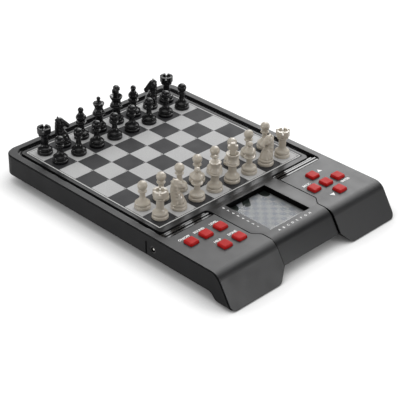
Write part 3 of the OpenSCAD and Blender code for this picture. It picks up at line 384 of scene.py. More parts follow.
nodeFinishes = {
    "board_sheet": boardPrint(boardLook), "display_module": displayGlass(lcdLook),
    "display_window": clearWindow(windowLook), "channel_frame": channelPlastic,
    "lower_case": plastic("shadedSidePlastic", shadedSideLook), "outer_cover": plastic("coverPlastic", coverLook),
    "console_deck": plastic("consolePlastic", consoleLook), "battery_door": plastic("casePlastic", caseLook),
    "sensor_sheet": plastic("sensorFilm", filmLook), "main_board": circuitGreen, "key_boards": circuitGreen,
    "dome_mats": blackRubber, "rubber_feet": blackRubber,
    "loudspeaker": plastic("speakerPaper", coneLook), "dc_inlet": inletFinish(inletLook),
    "battery_cells": cellWrap(cellLook), "battery_contacts": platedSteel, "case_screws": platedSteel,
}
for nodeName, finish in nodeFinishes.items():
    dress(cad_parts[nodeName], finish)
print("finishes ready")

# The width of the softened edges of each shell, and the angles in degrees.
shellShape = {"widths": {"outer_cover": 0.0005, "console_deck": 0.0006}, "merge": 2e-6, "flat": 0.4,
              "sharp": 38, "shortest": 0.0001, "shading": 40, "segments": 3}


# A merged copy of a CAD shell whose sharp edges are rounded.
def softShell(nodeName):
    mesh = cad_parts[nodeName].data.copy()
    shell = bmesh.new()
    shell.from_mesh(mesh)
    bmesh.ops.remove_doubles(shell, verts=shell.verts, dist=shellShape["merge"])
    bmesh.ops.dissolve_limit(shell, angle_limit=math.radians(shellShape["flat"]), verts=shell.verts,
                             edges=shell.edges)
    weights = shell.edges.layers.float.new("bevel_weight_edge")
    for edge in shell.edges:
        whole = len(edge.link_faces) == 2 and edge.calc_length() > shellShape["shortest"]
        if whole and edge.calc_face_angle() > math.radians(shellShape["sharp"]):
            edge[weights] = 1.0
    shell.to_mesh(mesh)
    shell.free()
    mesh.shade_smooth()
    mesh.set_sharp_from_angle(angle=math.radians(shellShape["shading"]))
    piece = placed(nodeName + "_soft", mesh, nodeFinishes[nodeName], "case")
    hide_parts(nodeName)
    bevel = piece.modifiers.new("softEdges", "BEVEL")
    bevel.limit_method = "WEIGHT"
    bevel.width = shellShape["widths"][nodeName]
    bevel.segments = shellShape["segments"]
    bevel.use_clamp_overlap = True
    bevel.harden_normals = True


for nodeName in shellShape["widths"]:
    softShell(nodeName)
print("case shells softened")

# The men's sizes are in millimetres, from the board up.
footShape = {"radius": 8.3, "plinth": 3.1, "bulge": 4.2, "bulgeEnd": 58}
pawnShape = {"top": 29.8, "stem": 2.7, "stemTop": 15.6, "head": 5.0}
rookShape = {"top": 30.4, "stem": 3.9, "stemTop": 12.5, "crown": 6, "head": 7.3, "hollow": 4.5,
             "wallMiddle": 6.0, "gap": 2.2, "gapDepth": 2.3}
bishopShape = {"top": 35.6, "stem": 3.1, "stemTop": 12.6, "ball": 3.1, "slitTilt": 40, "slitBelow": 9.5,
               "slitRadius": 2.2, "slitHalf": 0.6, "slitDepth": 1.5, "slitHigh": 5.9, "slitLow": 13.5,
               "slitFrom": 1.0, "slitFade": 1.4}
queenShape = {"top": 39.5, "stem": 4.1, "stemTop": 13.6, "ball": 2.2, "rimBelow": 7.2, "rimHalf": 0.9,
              "rimRadius": 4.7, "scallops": 8, "scallopDepth": 0.5}
kingShape = {"top": 43.8, "stem": 4.2, "stemTop": 14, "cross": 13.4, "crossThick": 4.8, "crossRound": 0.8,
             "armsBelow": 4.9}
# Points round each man, the step along its profile, how far a corner is softened, and in radians how close
# the columns at the side of a gap are.
turnedMesh = {"around": 88, "step": 0.26, "fineStep": 0.05, "soften": 0.2, "softenReach": 16,
              "edgePair": 0.012, "edgeClear": 0.03}


# Points on a circle of the given size round (radius, height), from one angle to another.
def arcLine(radius, height, size, start, end, count=8):
    angle = np.radians(np.linspace(start, end, count + 1))
    return np.stack([radius + size * np.cos(angle), height + size * np.sin(angle)], -1)


# A round bead that goes round a man as a collar.
def collarLine(radius, height, size):
    return arcLine(radius, height, size, -80, 80)


# A soft step: the radius goes from r0 to r1 as half a cosine wave over the height.
def bellLine(r0, z0, r1, z1, count=9):
    t = np.linspace(0, 1, count + 1)
    return np.stack([r1 + (r0 - r1) * (1 + np.cos(np.pi * t)) / 2, z0 + (z1 - z0) * t], -1)


# A hollow curve: what is left of the way from r0 to r1 shrinks as the cube of (1 - t).
def flareLine(r0, z0, r1, z1, count=12):
    t = np.linspace(0, 1, count + 1)
    return np.stack([r1 + (r0 - r1) * (1 - t) ** 3, z0 + (z1 - z0) * t], -1)


# Plinth, groove and bulge, the foot of every man.
def footLine():
    base, plinth, half = footShape["radius"], footShape["plinth"], footShape["bulge"] / 2
    outline = np.array([[0, 0], [base - 0.4, 0], [base, 0.4], [base, plinth - 0.4], [base - 0.3, plinth],
                        [base - 1, plinth + 0.3], [base - 1, plinth + 0.6]])
    swell = arcLine(base - half - 0.5, plinth + 0.3 + half, half, -50, footShape["bulgeEnd"], 9)
    return np.concatenate([outline, swell])


# The foot, and the hollow curve from it to the top of the stem.
def stemLine(shape):
    foot = footLine()
    return np.concatenate([foot, flareLine(*foot[-1], shape["stem"], shape["stemTop"])])


# A stem with one collar under a ball.
def pawnLine(shape):
    middle = shape["top"] - shape["head"]
    return np.concatenate([
        stemLine(shape), [[shape["stem"], middle - 7.4]], collarLine(3.7, middle - 6.2, 0.9),
        [[3.2, middle - 4.8]], arcLine(0, middle, shape["head"], -54, 90, 18)])


# A stem with one collar under a cup with upright walls and a hollow top.
def rookLine(shape):
    top, head, hollow = shape["top"], shape["head"], shape["hollow"]
    crown = top - shape["crown"]
    return np.concatenate([
        stemLine(shape), [[shape["stem"], crown - 4.6], [4.5, crown - 3.8]],
        collarLine(5.1, crown - 2.6, 1), [[5.6, crown - 1.5]],
        bellLine(5.7, crown - 1.4, head, crown + 0.2, 6),
        [[head, top - 0.3], [head - 0.3, top], [hollow, top], [hollow - 0.4, top - 3], [0, top - 3.6]]])


# A skirt and a collar, and a mitre that narrows to a ball.
def bishopLine(shape):
    n, top, ball = shape["stemTop"], shape["top"], shape["ball"]
    return np.concatenate([
        stemLine(shape), [[shape["stem"], n + 3]], bellLine(3.2, n + 3.4, 5.3, n + 4.8, 6),
        collarLine(5.3, n + 5.5, 0.75), [[4.4, n + 6.5]], bellLine(4.3, n + 6.7, 4, n + 7.5, 4),
        bellLine(4, n + 7.8, 5.6, n + 10.6, 7), bellLine(5.6, n + 11.6, 2.6, top - 5.7, 9),
        arcLine(0, top - ball, ball, -50, 90, 12)])


# A skirt, two collars, a waist, and a cup whose hollow rises in a dome to a ball.
def queenLine(shape):
    n, top, ball = shape["stemTop"], shape["top"], shape["ball"]
    return np.concatenate([
        stemLine(shape), [[shape["stem"], n + 2.2]], bellLine(4.2, n + 2.6, 6.2, n + 4.8, 6),
        collarLine(6.1, n + 5.8, 1), collarLine(5.6, n + 7.8, 0.8), bellLine(5.5, n + 8.8, 4.4, n + 12.8, 7),
        bellLine(4.4, n + 13.2, 6.1, top - 7.9, 7),
        [[6.3, top - 7.5], [6.1, top - 7.1], [5.3, top - 7.3], [4.2, top - 7.4], [3.3, top - 6.8],
         [2.6, top - 5.4], [1.8, top - 4.1]], arcLine(0, top - ball, ball, -45, 90, 10)])


# A skirt, two collars, a waist, and a cup that the cross stands in.
def kingLine(shape):
    n, crown = shape["stemTop"], shape["top"] - shape["cross"]
    return np.concatenate([
        stemLine(shape), [[shape["stem"], n + 2.6]], bellLine(4.3, n + 3, 6.2, n + 5, 6),
        collarLine(6.1, n + 6, 1), collarLine(5.6, n + 8.1, 0.8), bellLine(5.5, n + 9, 4.8, crown - 4.8, 7),
        bellLine(4.8, crown - 4.4, 7, crown + 1, 8),
        [[7, crown + 1.5], [6.3, crown + 1.7], [4, crown + 0.4], [2.2, crown - 0.4], [0, crown - 0.5]]])


# The profile resampled at even steps along its length, after a Gaussian has softened its corners.
def evenLine(line):
    step = turnedMesh["fineStep"]
    steps = np.hypot(*np.diff(line, axis=0).T)
    line = line[np.concatenate([[True], steps > 1e-6])]
    along = np.concatenate([[0], np.cumsum(np.hypot(*np.diff(line, axis=0).T))])
    fine = np.linspace(0, along[-1], int(along[-1] / step))
    dense = np.stack([np.interp(fine, along, line[:, k]) for k in range(2)], -1)
    reach = np.arange(-turnedMesh["softenReach"], turnedMesh["softenReach"] + 1) * step
    weight = np.exp(-0.5 * (reach / turnedMesh["soften"]) ** 2)
    weight /= weight.sum()
    # The profile goes on as its own mirror image past both of its ends on the axis.
    whole = np.concatenate([(dense * [-1, 1])[:0:-1], dense, (dense * [-1, 1])[-2::-1]])
    soft = np.stack([np.convolve(whole[:, k], weight, "same") for k in range(2)], -1)
    soft = soft[len(dense) - 1:2 * len(dense) - 1]
    picks = np.unique(np.linspace(1, len(soft) - 2, int(along[-1] / turnedMesh["step"])).astype(int))
    picked = soft[picks]
    picked[:, 1] = np.maximum(picked[:, 1], 0)
    return picked


def roundAngles():
    return np.arange(turnedMesh["around"]) * 2 * np.pi / turnedMesh["around"]


# A turned body: the point at (radius, height) goes round the upright axis through every angle.
def turned(line, angles):
    radius, height = line[:, 0][:, None], line[:, 1][:, None]
    return np.stack([radius * np.cos(angles), radius * np.sin(angles), height + 0 * angles], -1)


def turnBetween(a, b):
    return np.abs((a - b + np.pi) % (2 * np.pi) - np.pi)


# The turned rook, with every point above a gap's floor pressed down to it inside the four gaps. Each side
# of a gap is a pair of close columns, and the plain columns beside them are left out.
def rookRings(shape):
    side = math.asin(shape["gap"] / 2 / shape["wallMiddle"])
    middles = np.pi / 4 + np.arange(4) * np.pi / 2
    pair = (-turnedMesh["edgePair"], turnedMesh["edgePair"])
    edges = np.concatenate([middles + s * (side + d) for s in (-1, 1) for d in pair])
    plain = roundAngles()
    apart = turnBetween(plain[:, None], edges).min(1)
    angles = np.sort(np.concatenate([plain[apart > turnedMesh["edgeClear"]], edges % (2 * np.pi)]))
    rings = turned(evenLine(rookLine(shape)), angles)
    inGap = (turnBetween(angles[:, None], middles) < side).any(1)
    low = np.minimum(rings[..., 2], shape["top"] - shape["gapDepth"])
    rings[..., 2] = np.where(inGap, low, rings[..., 2])
    return rings


# The turned bishop, with a slanted slit pressed into one side of the mitre.
def bishopRings(shape):
    rings = turned(evenLine(bishopLine(shape)), roundAngles())
    tilt, top = math.radians(shape["slitTilt"]), shape["top"]
    x, z = rings[..., 0], rings[..., 2]
    across = (z - top + shape["slitBelow"]) * math.cos(tilt) - (x - shape["slitRadius"]) * math.sin(tilt)
    near = np.clip(1.25 - np.abs(across) / shape["slitHalf"], 0, 1)
    near *= np.clip((x - shape["slitFrom"]) / shape["slitFade"], 0, 1)
    near *= (z < top - shape["slitHigh"]) & (z > top - shape["slitLow"])
    rings[..., 0] -= shape["slitDepth"] * near
    return rings


# The turned queen, with shallow scallops round the coronet: a cosine of eight waves lowers the rim.
def queenRings(shape):
    angles = roundAngles()
    rings = turned(evenLine(queenLine(shape)), angles)
    height = rings[..., 2]
    radius = np.hypot(rings[..., 0], rings[..., 1])
    rim = np.exp(-((height - shape["top"] + shape["rimBelow"]) / shape["rimHalf"]) ** 2)
    rim *= radius > shape["rimRadius"]
    rings[..., 2] -= shape["scallopDepth"] * rim * (1 - np.cos(shape["scallops"] * angles)) / 2
    return rings


# A cross seen from the front: four arms that widen outwards, on a small stalk.
def crossOutline(shape):
    top, crown = shape["top"], shape["top"] - shape["cross"]
    middle = top - shape["armsBelow"]
    right = np.array([[3.0, crown - 0.6], [3.1, crown + 2.4], [2.85, crown + 5.0], [2.75, middle - 2.1],
                      [5.2, middle - 2.3], [5.2, middle + 2.2], [2.75, middle + 2.0], [2.4, top]])
    return np.concatenate([right, (right * [-1, 1])[::-1]])


# A flat outline in X and Z, given thickness along Y.
def slabSkin(outline, thick):
    count = len(outline)
    front = np.stack([outline[:, 0], np.full(count, -thick / 2), outline[:, 1]], -1)
    j = np.arange(count)
    k = (j + 1) % count
    sides = np.stack([k, j, j + count, k + count], -1).tolist()
    faces = sides + [list(range(count)), list(range(2 * count - 1, count - 1, -1))]
    return np.concatenate([front, front + [0, thick, 0]]), faces


# The horse is a field of distances, and its skin lies where the field is nought. Chains are (x, z, radius)
# in the middle plane, and rods are an end and its radius, twice, mirrored to the other side.
horseShape = {
    "low": (-10, -9, 6), "high": (9.5, 9, 36), "step": 0.34, "blend": 0.42, "floor": 6.9,
    "neck": [(-0.3, 7.2, 7.0), (-1.3, 11.5, 6.3), (-3.2, 16.5, 5.0), (-4.1, 21.5, 4.25), (-3.8, 26.5, 4.0),
             (-2.7, 29.3, 3.3)],
    "neckWide": 0.98,
    "face": [(-2.2, 28.7, 3.4), (1.6, 25.9, 2.9), (5.0, 22.9, 2.35)],
    "faceWide": 0.92,
    "crest": [(-4.6, 31.2, 1.7), (-6.3, 27.5, 1.7), (-6.8, 22.0, 1.7), (-6.7, 16.5, 1.9), (-5.6, 11.0, 2.0)],
    "crestWide": 0.75,
    "ear": ((-4.6, 1.3, 30.2), 1.45, (-4.9, 1.9, 33.4), 0.5),
    "forelock": ((-3.9, 0.5, 30.8), 1.3, (-1.4, 0.6, 30.2), 0.7),
    "cheek": ((-0.9, 2.0, 25.6), 1.9, (0.6, 1.7, 24.2), 1.5),
    "brow": ((0.5, 2.4, 28.2), 0.75, (1.5, 2.2, 27.6), 0.55),
    "muzzle": ((5.6, 1.1, 23.0), 1.35, (5.2, 1.0, 21.6), 1.2),
    "locks": 6, "lockTop": 30.4, "lockPitch": 3.5, "folds": 3,
    "mouth": ((3.0, 0, 21.9), 0.18, (8.2, 0, 21.6), 0.42),
    "nostril": ((6.4, 2.3, 23.8), 0.5, (7.4, 1.6, 23.2), 0.5),
}


# Distance to a rod from a to b whose radius changes evenly from ra to rb.
def rodField(points, a, ra, b, rb):
    a, b = np.array(a, float), np.array(b, float)
    t = np.clip((points - a) @ (b - a) / ((b - a) @ (b - a)), 0, 1)
    return np.linalg.norm(points - a - t[:, None] * (b - a), axis=1) - (ra + t * (rb - ra))


# Rods end to end in the middle plane, squeezed across by the factor wide.
def chainField(points, chain, wide):
    squeezed = points * [1, 1 / wide, 1]
    rods = [rodField(squeezed, (x0, 0, z0), r0, (x1, 0, z1), r1)
            for (x0, z0, r0), (x1, z1, r1) in zip(chain[:-1], chain[1:])]
    return np.min(rods, 0) * min(1, wide)


# Each lock of the mane is two rods end to end, further down and further out than the one above it.
def lockRods(i):
    z = horseShape["lockTop"] - horseShape["lockPitch"] * i
    root, middle = (-7.0 + 0.1 * i, 1.0, z), (-4.6 + 0.35 * i, 3.75 + 0.22 * i, z - 3.6)
    return [(root, 1.0, middle, 0.95), (middle, 0.95, (-3.2 + 0.55 * i, 4.2 + 0.34 * i, z - 6.4), 0.35)]


# A fold of the breast runs down and back to the foot.
def foldRod(i):
    return (0.4 + 1.2 * i, 3.9 - 0.5 * i, 17.6 - 2.4 * i), 0.55, (-3.4 + 3.2 * i, 6.3 - 0.3 * i, 8.6), 0.9


# The horse looks along X. Each form blends into the rest: the field is the logarithm of the sum of their
# exponentials. The mouth and the nostrils are taken away, and all that lies under the floor.
def horseField(points):
    shape = horseShape
    mirrored = points * [1, 0, 1] + np.abs(points) * [0, 1, 0]
    rods = [shape[name] for name in ("ear", "forelock", "cheek", "brow", "muzzle")]
    rods += [rod for i in range(shape["locks"]) for rod in lockRods(i)]
    rods += [foldRod(i) for i in range(shape["folds"])]
    forms = [chainField(points, shape[name], shape[name + "Wide"]) for name in ("neck", "face", "crest")]
    forms = np.array(forms + [rodField(mirrored, *rod) for rod in rods])
    low = forms.min(0)
    field = low - shape["blend"] * np.log(np.exp(-(forms - low) / shape["blend"]).sum(0))
    field = np.maximum(field, -rodField(points * [1, 0, 1], *shape["mouth"]))
    field = np.maximum(field, -rodField(mirrored, *shape["nostril"]))
    return np.maximum(field, shape["floor"] - points[:, 2])


# How often a point moves, how far off the slope is measured, and shares of the step and of the cell.
skinMesh = {"moves": 5, "probe": 0.05, "pull": 0.7, "stay": 0.6, "leastSlope": 0.05}


# The skin of a field: one point in each grid cell that the surface crosses, moved onto the surface along
# the field's slope, and one quad round each grid edge whose ends lie on either side.
def fieldSkin(field, low, high, step):
    axes = [np.arange(a, b, step) for a, b in zip(low, high)]
    grid = np.stack(np.meshgrid(*axes, indexing="ij"), -1)
    shape = grid.shape[:3]
    inside = (field(grid.reshape(-1, 3)) < 0).reshape(shape)
    corners = sum(inside[i:shape[0] - 1 + i, j:shape[1] - 1 + j, k:shape[2] - 1 + k].astype(int)
                  for i in (0, 1) for j in (0, 1) for k in (0, 1))
    crossed = (corners > 0) & (corners < 8)
    number = np.full(crossed.shape, -1)
    number[crossed] = np.arange(crossed.sum())
    points = grid[:-1, :-1, :-1][crossed] + step / 2
    start, probe, stay = points.copy(), skinMesh["probe"], skinMesh["stay"] * step
    for _ in range(skinMesh["moves"]):
        value = field(points)
        rise = [field(points + d) - field(points - d) for d in np.eye(3) * probe]
        slope = np.stack(rise, -1) / (2 * probe)
        move = value[:, None] * slope / np.maximum((slope ** 2).sum(1), skinMesh["leastSlope"])[:, None]
        points = start + np.clip(points - skinMesh["pull"] * move - start, -stay, stay)
    quads = []
    for axis in range(3):
        order = [axis, (axis + 1) % 3, (axis + 2) % 3]
        solid, cell = np.moveaxis(inside, order, [0, 1, 2]), np.moveaxis(number, order, [0, 1, 2])
        first, second = solid[:-1, 1:-1, 1:-1], solid[1:, 1:-1, 1:-1]
        around = np.stack([cell[:, :-1, :-1], cell[:, 1:, :-1], cell[:, 1:, 1:], cell[:, :-1, 1:]], -1)
        quads += [around[first & ~second], around[~first & second][:, ::-1]]
    return points, np.concatenate(quads).tolist()


# Several skins as one mesh.
def joined(parts):
    points, faces, start = [], [], 0
    for partPoints, partFaces in parts:
        points.append(np.asarray(partPoints))
        faces += [[i + start for i in face] for face in partFaces]
        start += len(partPoints)
    return np.concatenate(points), faces


# The turned foot, closed on top, and the skin of the horse's field that stands in it.
def knightSkin(shape):
    foot = footLine()
    closed = evenLine(np.concatenate([foot, [[0, foot[-1][1] + 0.1]]]))
    return joined([ringSurface(turned(closed, roundAngles())),
                   fieldSkin(horseField, shape["low"], shape["high"], shape["step"])])


# Turns a man about the upright axis and stands it on its square, in metres.
def standPoints(points, column, rank, turn):
    c, s = math.cos(math.radians(turn)), math.sin(math.radians(turn))
    spun = points @ np.array([[c, s, 0], [-s, c, 0], [0, 0, 1]])
    return spun * mm + [(column - 3.5) * squareSize, boardFrontY + (rank - 0.5) * squareSize, boardTop]


menSkins = {
    "pawn": ringSurface(turned(evenLine(pawnLine(pawnShape)), roundAngles())),
    "rook": ringSurface(rookRings(rookShape)),
    "bishop": ringSurface(bishopRings(bishopShape)),
    "queen": ringSurface(queenRings(queenShape)),
    "king": ringSurface(turned(evenLine(kingLine(kingShape)), roundAngles())),
    "knight": knightSkin(horseShape),
}
print("chess men shaped")

# Each side's finish, and the ranks of its men and of its pawns.
sides = {"white": (whiteManPlastic, (1, 2)), "black": (blackManPlastic, (8, 7))}
manTurns = {"knight_b": -25, "knight_g": 165, "bishop_c": -20, "bishop_f": -20, "white_king_e": -45,
            "black_king_e": 20}

for nodeName in [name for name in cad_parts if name.startswith(("white_", "black_"))]:
    side, kind, letter = nodeName.split("_")
    finish, ranks = sides[side]
    turn = manTurns.get(nodeName, manTurns.get(kind + "_" + letter, 0))
    place = "abcdefgh".index(letter), ranks[kind == "pawn"], turn
    points, faces = menSkins[kind]
    man = meshPiece(nodeName + "_man", standPoints(points, *place), faces, finish, nodeName,
                    48 if kind == "rook" else None)
    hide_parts(nodeName)
    if kind == "king":
        points, faces = slabSkin(crossOutline(kingShape), kingShape["crossThick"])
        cross = meshPiece(nodeName + "_cross", standPoints(points, *place), faces, finish, nodeName,
                          30)
        rounding = cross.modifiers.new("rounding", "BEVEL")
        rounding.width = kingShape["crossRound"] * mm
        rounding.segments = 3
        rounding.limit_method = "ANGLE"
print("chess men standing")

buttonShape = {"half": 5.6, "corner": 1.5, "edge": 0.45, "slope": 1.3, "round": 0.45, "crown": 0.1,
               "flange": 1.1, "flangeThick": 1.4, "flangeDepth": 2.0, "bore": 2.0, "steps": 10}


# Points round a square with round corners, counter-clockwise from its right side.
def roundedSquare(half, radius, steps):
    turn = np.radians(np.linspace(0, 90, steps))
    corners = [half - radius + radius * np.stack([np.cos(turn), np.sin(turn)], -1)]
    for _ in range(3):
        corners.append(corners[-1] @ np.array([[0, 1], [-1, 0]]))
    return np.concatenate(corners)


# Rounded squares stacked from the hidden flange up: straight sides, sides that lean in, a round edge as a
# quarter of an ellipse and a face that rises to a low crown. A row is its half side, height and corner.
def buttonSkin(middle, top, flangeTop):
    shape = buttonShape
    half, edge, corner, crown = shape["half"], shape["edge"], shape["corner"], shape["crown"]
    low, brim, shoulder = flangeTop - shape["flangeThick"], half + shape["flange"], top - shape["slope"]
    lean = shape["slope"] - shape["round"]
    rows = [(shape["bore"], low, 1.9), (brim, low, corner), (brim, flangeTop, corner),
            (half, flangeTop + 0.02, corner), (half, shoulder, corner)]
    rows += [(half - edge * t, shoulder + lean * t, corner - 0.3 * t) for t in (0.33, 0.66, 1.0)]
    for t in np.linspace(0.2, 1, 5):
        turn = t * math.pi / 2
        rows.append((half - edge - shape["round"] * (1 - math.cos(turn)) * 1.2,
                     top - shape["round"] * (1 - math.sin(turn)) - crown, corner - 0.3 - 0.3 * t))
    inner = rows[-1][0]
    rows += [(inner * (1 - t), top - crown * (1 - t) ** 2, max(0.02, (corner - 0.6) * (1 - t)))
             for t in (0.15, 0.35, 0.6, 0.85, 0.97)]
    rings = []
    for reach, height, radius in rows:
        outline = roundedSquare(reach, min(radius, reach), shape["steps"])
        rings.append(np.column_stack([outline, np.full(len(outline), height)]))
    return ringSurface((np.array(rings) + [*middle, 0]) * mm)


for nodeName in [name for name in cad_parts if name.startswith("button_")]:
    low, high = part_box(nodeName)
    middle = ((low.x + high.x) / 2 / mm, (low.y + high.y) / 2 / mm)
    points, faces = buttonSkin(middle, high.z / mm, coverTop / mm - buttonShape["flangeDepth"])
    cap = meshPiece(nodeName + "_cap", points, faces, buttonPlastic, nodeName, 50)
    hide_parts(nodeName)
print("buttons made")

# Printed words in millimetres: each word's middle, and an arrowhead's middle and way, back or front.
buttonPrint = {"height": 2.9, "bold": 0.14, "arrowHalf": (3.0, 2.2), "arrowFrom": -0.01, "arrowTop": 0.05,
               "arrows": [(89.9, -87.7, 1), (64.6, -129.0, -1)],
               "words": [("ON/OFF", -98.3, -83.4), ("SOUND", -78.8, -83.4), ("LEVEL", -59.4, -83.4),
                         ("HELP", -78.8, -108.3), ("DONE", -59.2, -108.3), ("BACK", 58.3, -98.6),
                         ("ENTER", 95.2, -118.6)]}
displayPrint = {"height": 2.6, "bold": 0.1, "rankX": -33.0, "rankTop": -71.6, "rankPitch": 6.56,
                "fileY": -135.7, "fileLeft": -22.6, "filePitch": 6.26}
squarePrint = {"height": 1.9, "bold": 0.04, "left": 1.6, "up": 1.3}
# The type size for a letter of height 1, half the thickness of the ink, and its middle over the face.
letterShape = {"size": 1.38, "halfThick": 0.02, "lift": 0.03, "curveSteps": 4}


# The outline of a word as a thin mesh whose middle lies on a face, all in millimetres.
def wordMesh(text, x, y, z, look):
    curve = bpy.data.curves.new("word", "FONT")
    curve.body = text
    curve.size = look["height"] * letterShape["size"] * mm
    curve.align_x = "CENTER"
    curve.align_y = "CENTER"
    curve.offset = look["bold"] * mm
    curve.extrude = letterShape["halfThick"] * mm
    curve.resolution_u = letterShape["curveSteps"]
    holder = bpy.data.objects.new("word", curve)
    bpy.context.scene.collection.objects.link(holder)
    bpy.context.view_layer.update()
    mesh = bpy.data.meshes.new_from_object(holder.evaluated_get(bpy.context.evaluated_depsgraph_get()))
    bpy.data.objects.remove(holder)
    mesh.transform(Matrix.Translation((x * mm, y * mm, (z + letterShape["lift"]) * mm)))
    return mesh


# A flat arrowhead on the cover that points to the back (1) or to the front (-1).
def arrowMesh(x, y, way, look):
    halfX, halfY = look["arrowHalf"]
    corners = np.array([[-halfX, -halfY], [halfX, -halfY], [0, halfY]]) * [1, way] + [x, y]
    heights = coverTop / mm + np.array([look["arrowFrom"], look["arrowTop"]])
    rings = [np.column_stack([corners, np.full(3, height)]) for height in heights]
    faces = [(0, 2, 1), (3, 4, 5), (0, 1, 4, 3), (1, 2, 5, 4), (2, 0, 3, 5)]
    mesh = bpy.data.meshes.new("arrow")
    mesh.from_pydata(np.concatenate(rings) * mm, [], faces if way > 0 else [face[::-1] for face in faces])
    return mesh


# Several printed marks as one piece.
def wordPiece(name, meshes, material):
    shell = bmesh.new()
    for mesh in meshes:
        shell.from_mesh(mesh)
    whole = bpy.data.meshes.new(name)
    shell.to_mesh(whole)
    shell.free()
    placed(name, whole, material, "case")


printTop = coverTop / mm
marks = [arrowMesh(*arrow, buttonPrint) for arrow in buttonPrint["arrows"]]
marks += [wordMesh(text, x, y, printTop, buttonPrint) for text, x, y in buttonPrint["words"]]
wordPiece("buttonWords", marks, whiteInk)

marks = []
for i in range(8):
    rankY = displayPrint["rankTop"] - displayPrint["rankPitch"] * i
    marks.append(wordMesh(str(8 - i), displayPrint["rankX"], rankY, printTop, displayPrint))
for i in range(8):
    fileX = displayPrint["fileLeft"] + displayPrint["filePitch"] * i
    marks.append(wordMesh("ABCDEFGH"[i], fileX, displayPrint["fileY"], printTop, displayPrint))
wordPiece("displayWords", marks, whiteInk)

squareNames = {0: [], 1: []}
for column in range(8):
    for rank in range(8):
        x = (column - 3) * squareSize / mm - squarePrint["left"]
        y = (boardFrontY + rank * squareSize) / mm + squarePrint["up"]
        name = "abcdefgh"[column] + str(rank + 1)
        squareNames[(column + rank) % 2].append(wordMesh(name, x, y, boardTop / mm, squarePrint))
wordPiece("namesOnDark", squareNames[0], paleInk)
wordPiece("namesOnLight", squareNames[1], darkInk)
print("words printed")

# Lamps are a place, a width, a height and a power.
studio = {"floorSize": 8.0, "floorDepth": 0.0002, "floorColour": 0.5, "floorGlow": 0.66, "shade": 0.028,
          "shadePower": 1.6, "skyDiffuse": 0.5, "horizon": 1.0, "horizonEnd": 0.06, "zenith": 0.14,
          "zenithFrom": 0.34, "patchSide": (0.656, 0.265, 0.707), "patch": 5.0, "patchInner": 0.99,
          "patchOuter": 0.8, "lampAim": (0, 0, 0.04),
          "lamps": {"overhead": ((0.0, 0.2, 1.5), 1.3, 1.3, 8.0),
                    "backRight": ((0.58, 0.25, 0.40), 0.34, 0.34, 1.05),
                    "leftSpot": ((-1.07, 0.49, 0.27), 0.22, 0.4, 3.2),
                    "frontSpot": ((0.50, -1.06, 0.30), 0.22, 0.4, 3.2)}}
# The camera's place, and its turns about X, Y and Z in degrees.
view = {"place": (-0.82323, -0.82236, 0.70761), "turns": (58.60917, -0.64574, -44.85495),
        "lens": 118.22, "sensor": 36.0, "near": 0.05, "far": 50}


# A pale floor that glows where it is seen, less so where the object stands close over it: the fading glow is
# a painted contact shadow, beside the real shadow in its diffuse part.
def floorPiece():
    material, nodes = newMaterial("studioFloor")
    paper = nodes.mixColour(nodes.drifting(6, 2, 0, 1), grey(studio["floorColour"]),
                            grey(studio["floorColour"] + 0.01))
    diffuse = nodes.add("ShaderNodeBsdfDiffuse", {"Color": paper})
    openness = nodes.add("ShaderNodeAmbientOcclusion", {"Distance": studio["shade"]}, samples=12)
    shade = nodes.math("POWER", openness.outputs["AO"], studio["shadePower"])
    level = nodes.math("MULTIPLY", shade, studio["floorGlow"])
    glow = nodes.add("ShaderNodeEmission", {"Color": grey(1.0),
                                            "Strength": nodes.math("MULTIPLY", nodes.seenRay(), level)})
    both = nodes.add("ShaderNodeAddShader", {0: diffuse.outputs[0], 1: glow.outputs[0]})
    nodes.add("ShaderNodeOutputMaterial", {"Surface": both.outputs[0]})
    half, z = studio["floorSize"] / 2, -studio["floorDepth"]
    mesh = bpy.data.meshes.new("studioFloor")
    mesh.from_pydata([(-half, -half, z), (half, -half, z), (half, half, z), (-half, half, z)], [],
                     [(0, 1, 2, 3)])
    floor = bpy.data.objects.new("studioFloor", mesh)
    bpy.context.scene.collection.objects.link(floor)
    dress(floor, material)


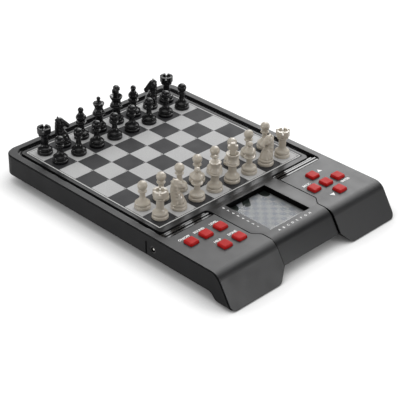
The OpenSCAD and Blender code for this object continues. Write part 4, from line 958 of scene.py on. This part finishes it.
# White near the horizon and dim overhead for what is seen or mirrored, with one bright round patch, and
# an even light for the rest.
def skyWorld():
    world = bpy.data.worlds.new("studioSky")
    bpy.context.scene.world = world
    nodes = Nodes(world)
    way = nodes.add("ShaderNodeTexCoord").outputs["Generated"]

    # A smooth step of the value from one level to another.
    def smoothStep(value, start, end, low, high):
        return nodes.add("ShaderNodeMapRange", {"Value": value, "From Min": start, "From Max": end,
                                                "To Min": low, "To Max": high},
                         interpolation_type="SMOOTHSTEP").outputs[0]

    along = nodes.vector("DOT_PRODUCT", way, Vector(studio["patchSide"]).normalized())
    patch = smoothStep(along, studio["patchOuter"], studio["patchInner"], 0, studio["patch"])
    level = smoothStep(nodes.split(way)[2], studio["horizonEnd"], studio["zenithFrom"], studio["horizon"],
                       studio["zenith"])
    strength = nodes.add("ShaderNodeMix", {"Factor": nodes.seenRay(), "A": studio["skyDiffuse"],
                                           "B": nodes.math("ADD", level, patch)}, data_type="FLOAT")
    light = nodes.add("ShaderNodeBackground", {"Color": grey(1.0), "Strength": strength.outputs[0]})
    nodes.add("ShaderNodeOutputWorld", {"Surface": light.outputs[0]})


def softbox(name, place, width, height, power):
    lamp = bpy.data.lights.new(name, "AREA")
    lamp.shape = "RECTANGLE"
    lamp.size = width
    lamp.size_y = height
    lamp.energy = power
    box = bpy.data.objects.new(name, lamp)
    bpy.context.scene.collection.objects.link(box)
    box.location = place
    box.rotation_euler = (Vector(studio["lampAim"]) - Vector(place)).to_track_quat("-Z", "Y").to_euler()


def viewCamera():
    camera = bpy.data.cameras.new("viewCamera")
    camera.lens = view["lens"]
    camera.sensor_width = view["sensor"]
    camera.clip_start = view["near"]
    camera.clip_end = view["far"]
    holder = bpy.data.objects.new("viewCamera", camera)
    bpy.context.scene.collection.objects.link(holder)
    turns = Euler([math.radians(turn) for turn in view["turns"]])
    holder.matrix_world = Matrix.LocRotScale(Vector(view["place"]), turns, None)
    bpy.context.scene.camera = holder


floorPiece()
skyWorld()
for name, lamp in studio["lamps"].items():
    softbox(name, *lamp)
viewCamera()
bpy.context.scene.view_settings.view_transform = "Standard"
print("studio lit")
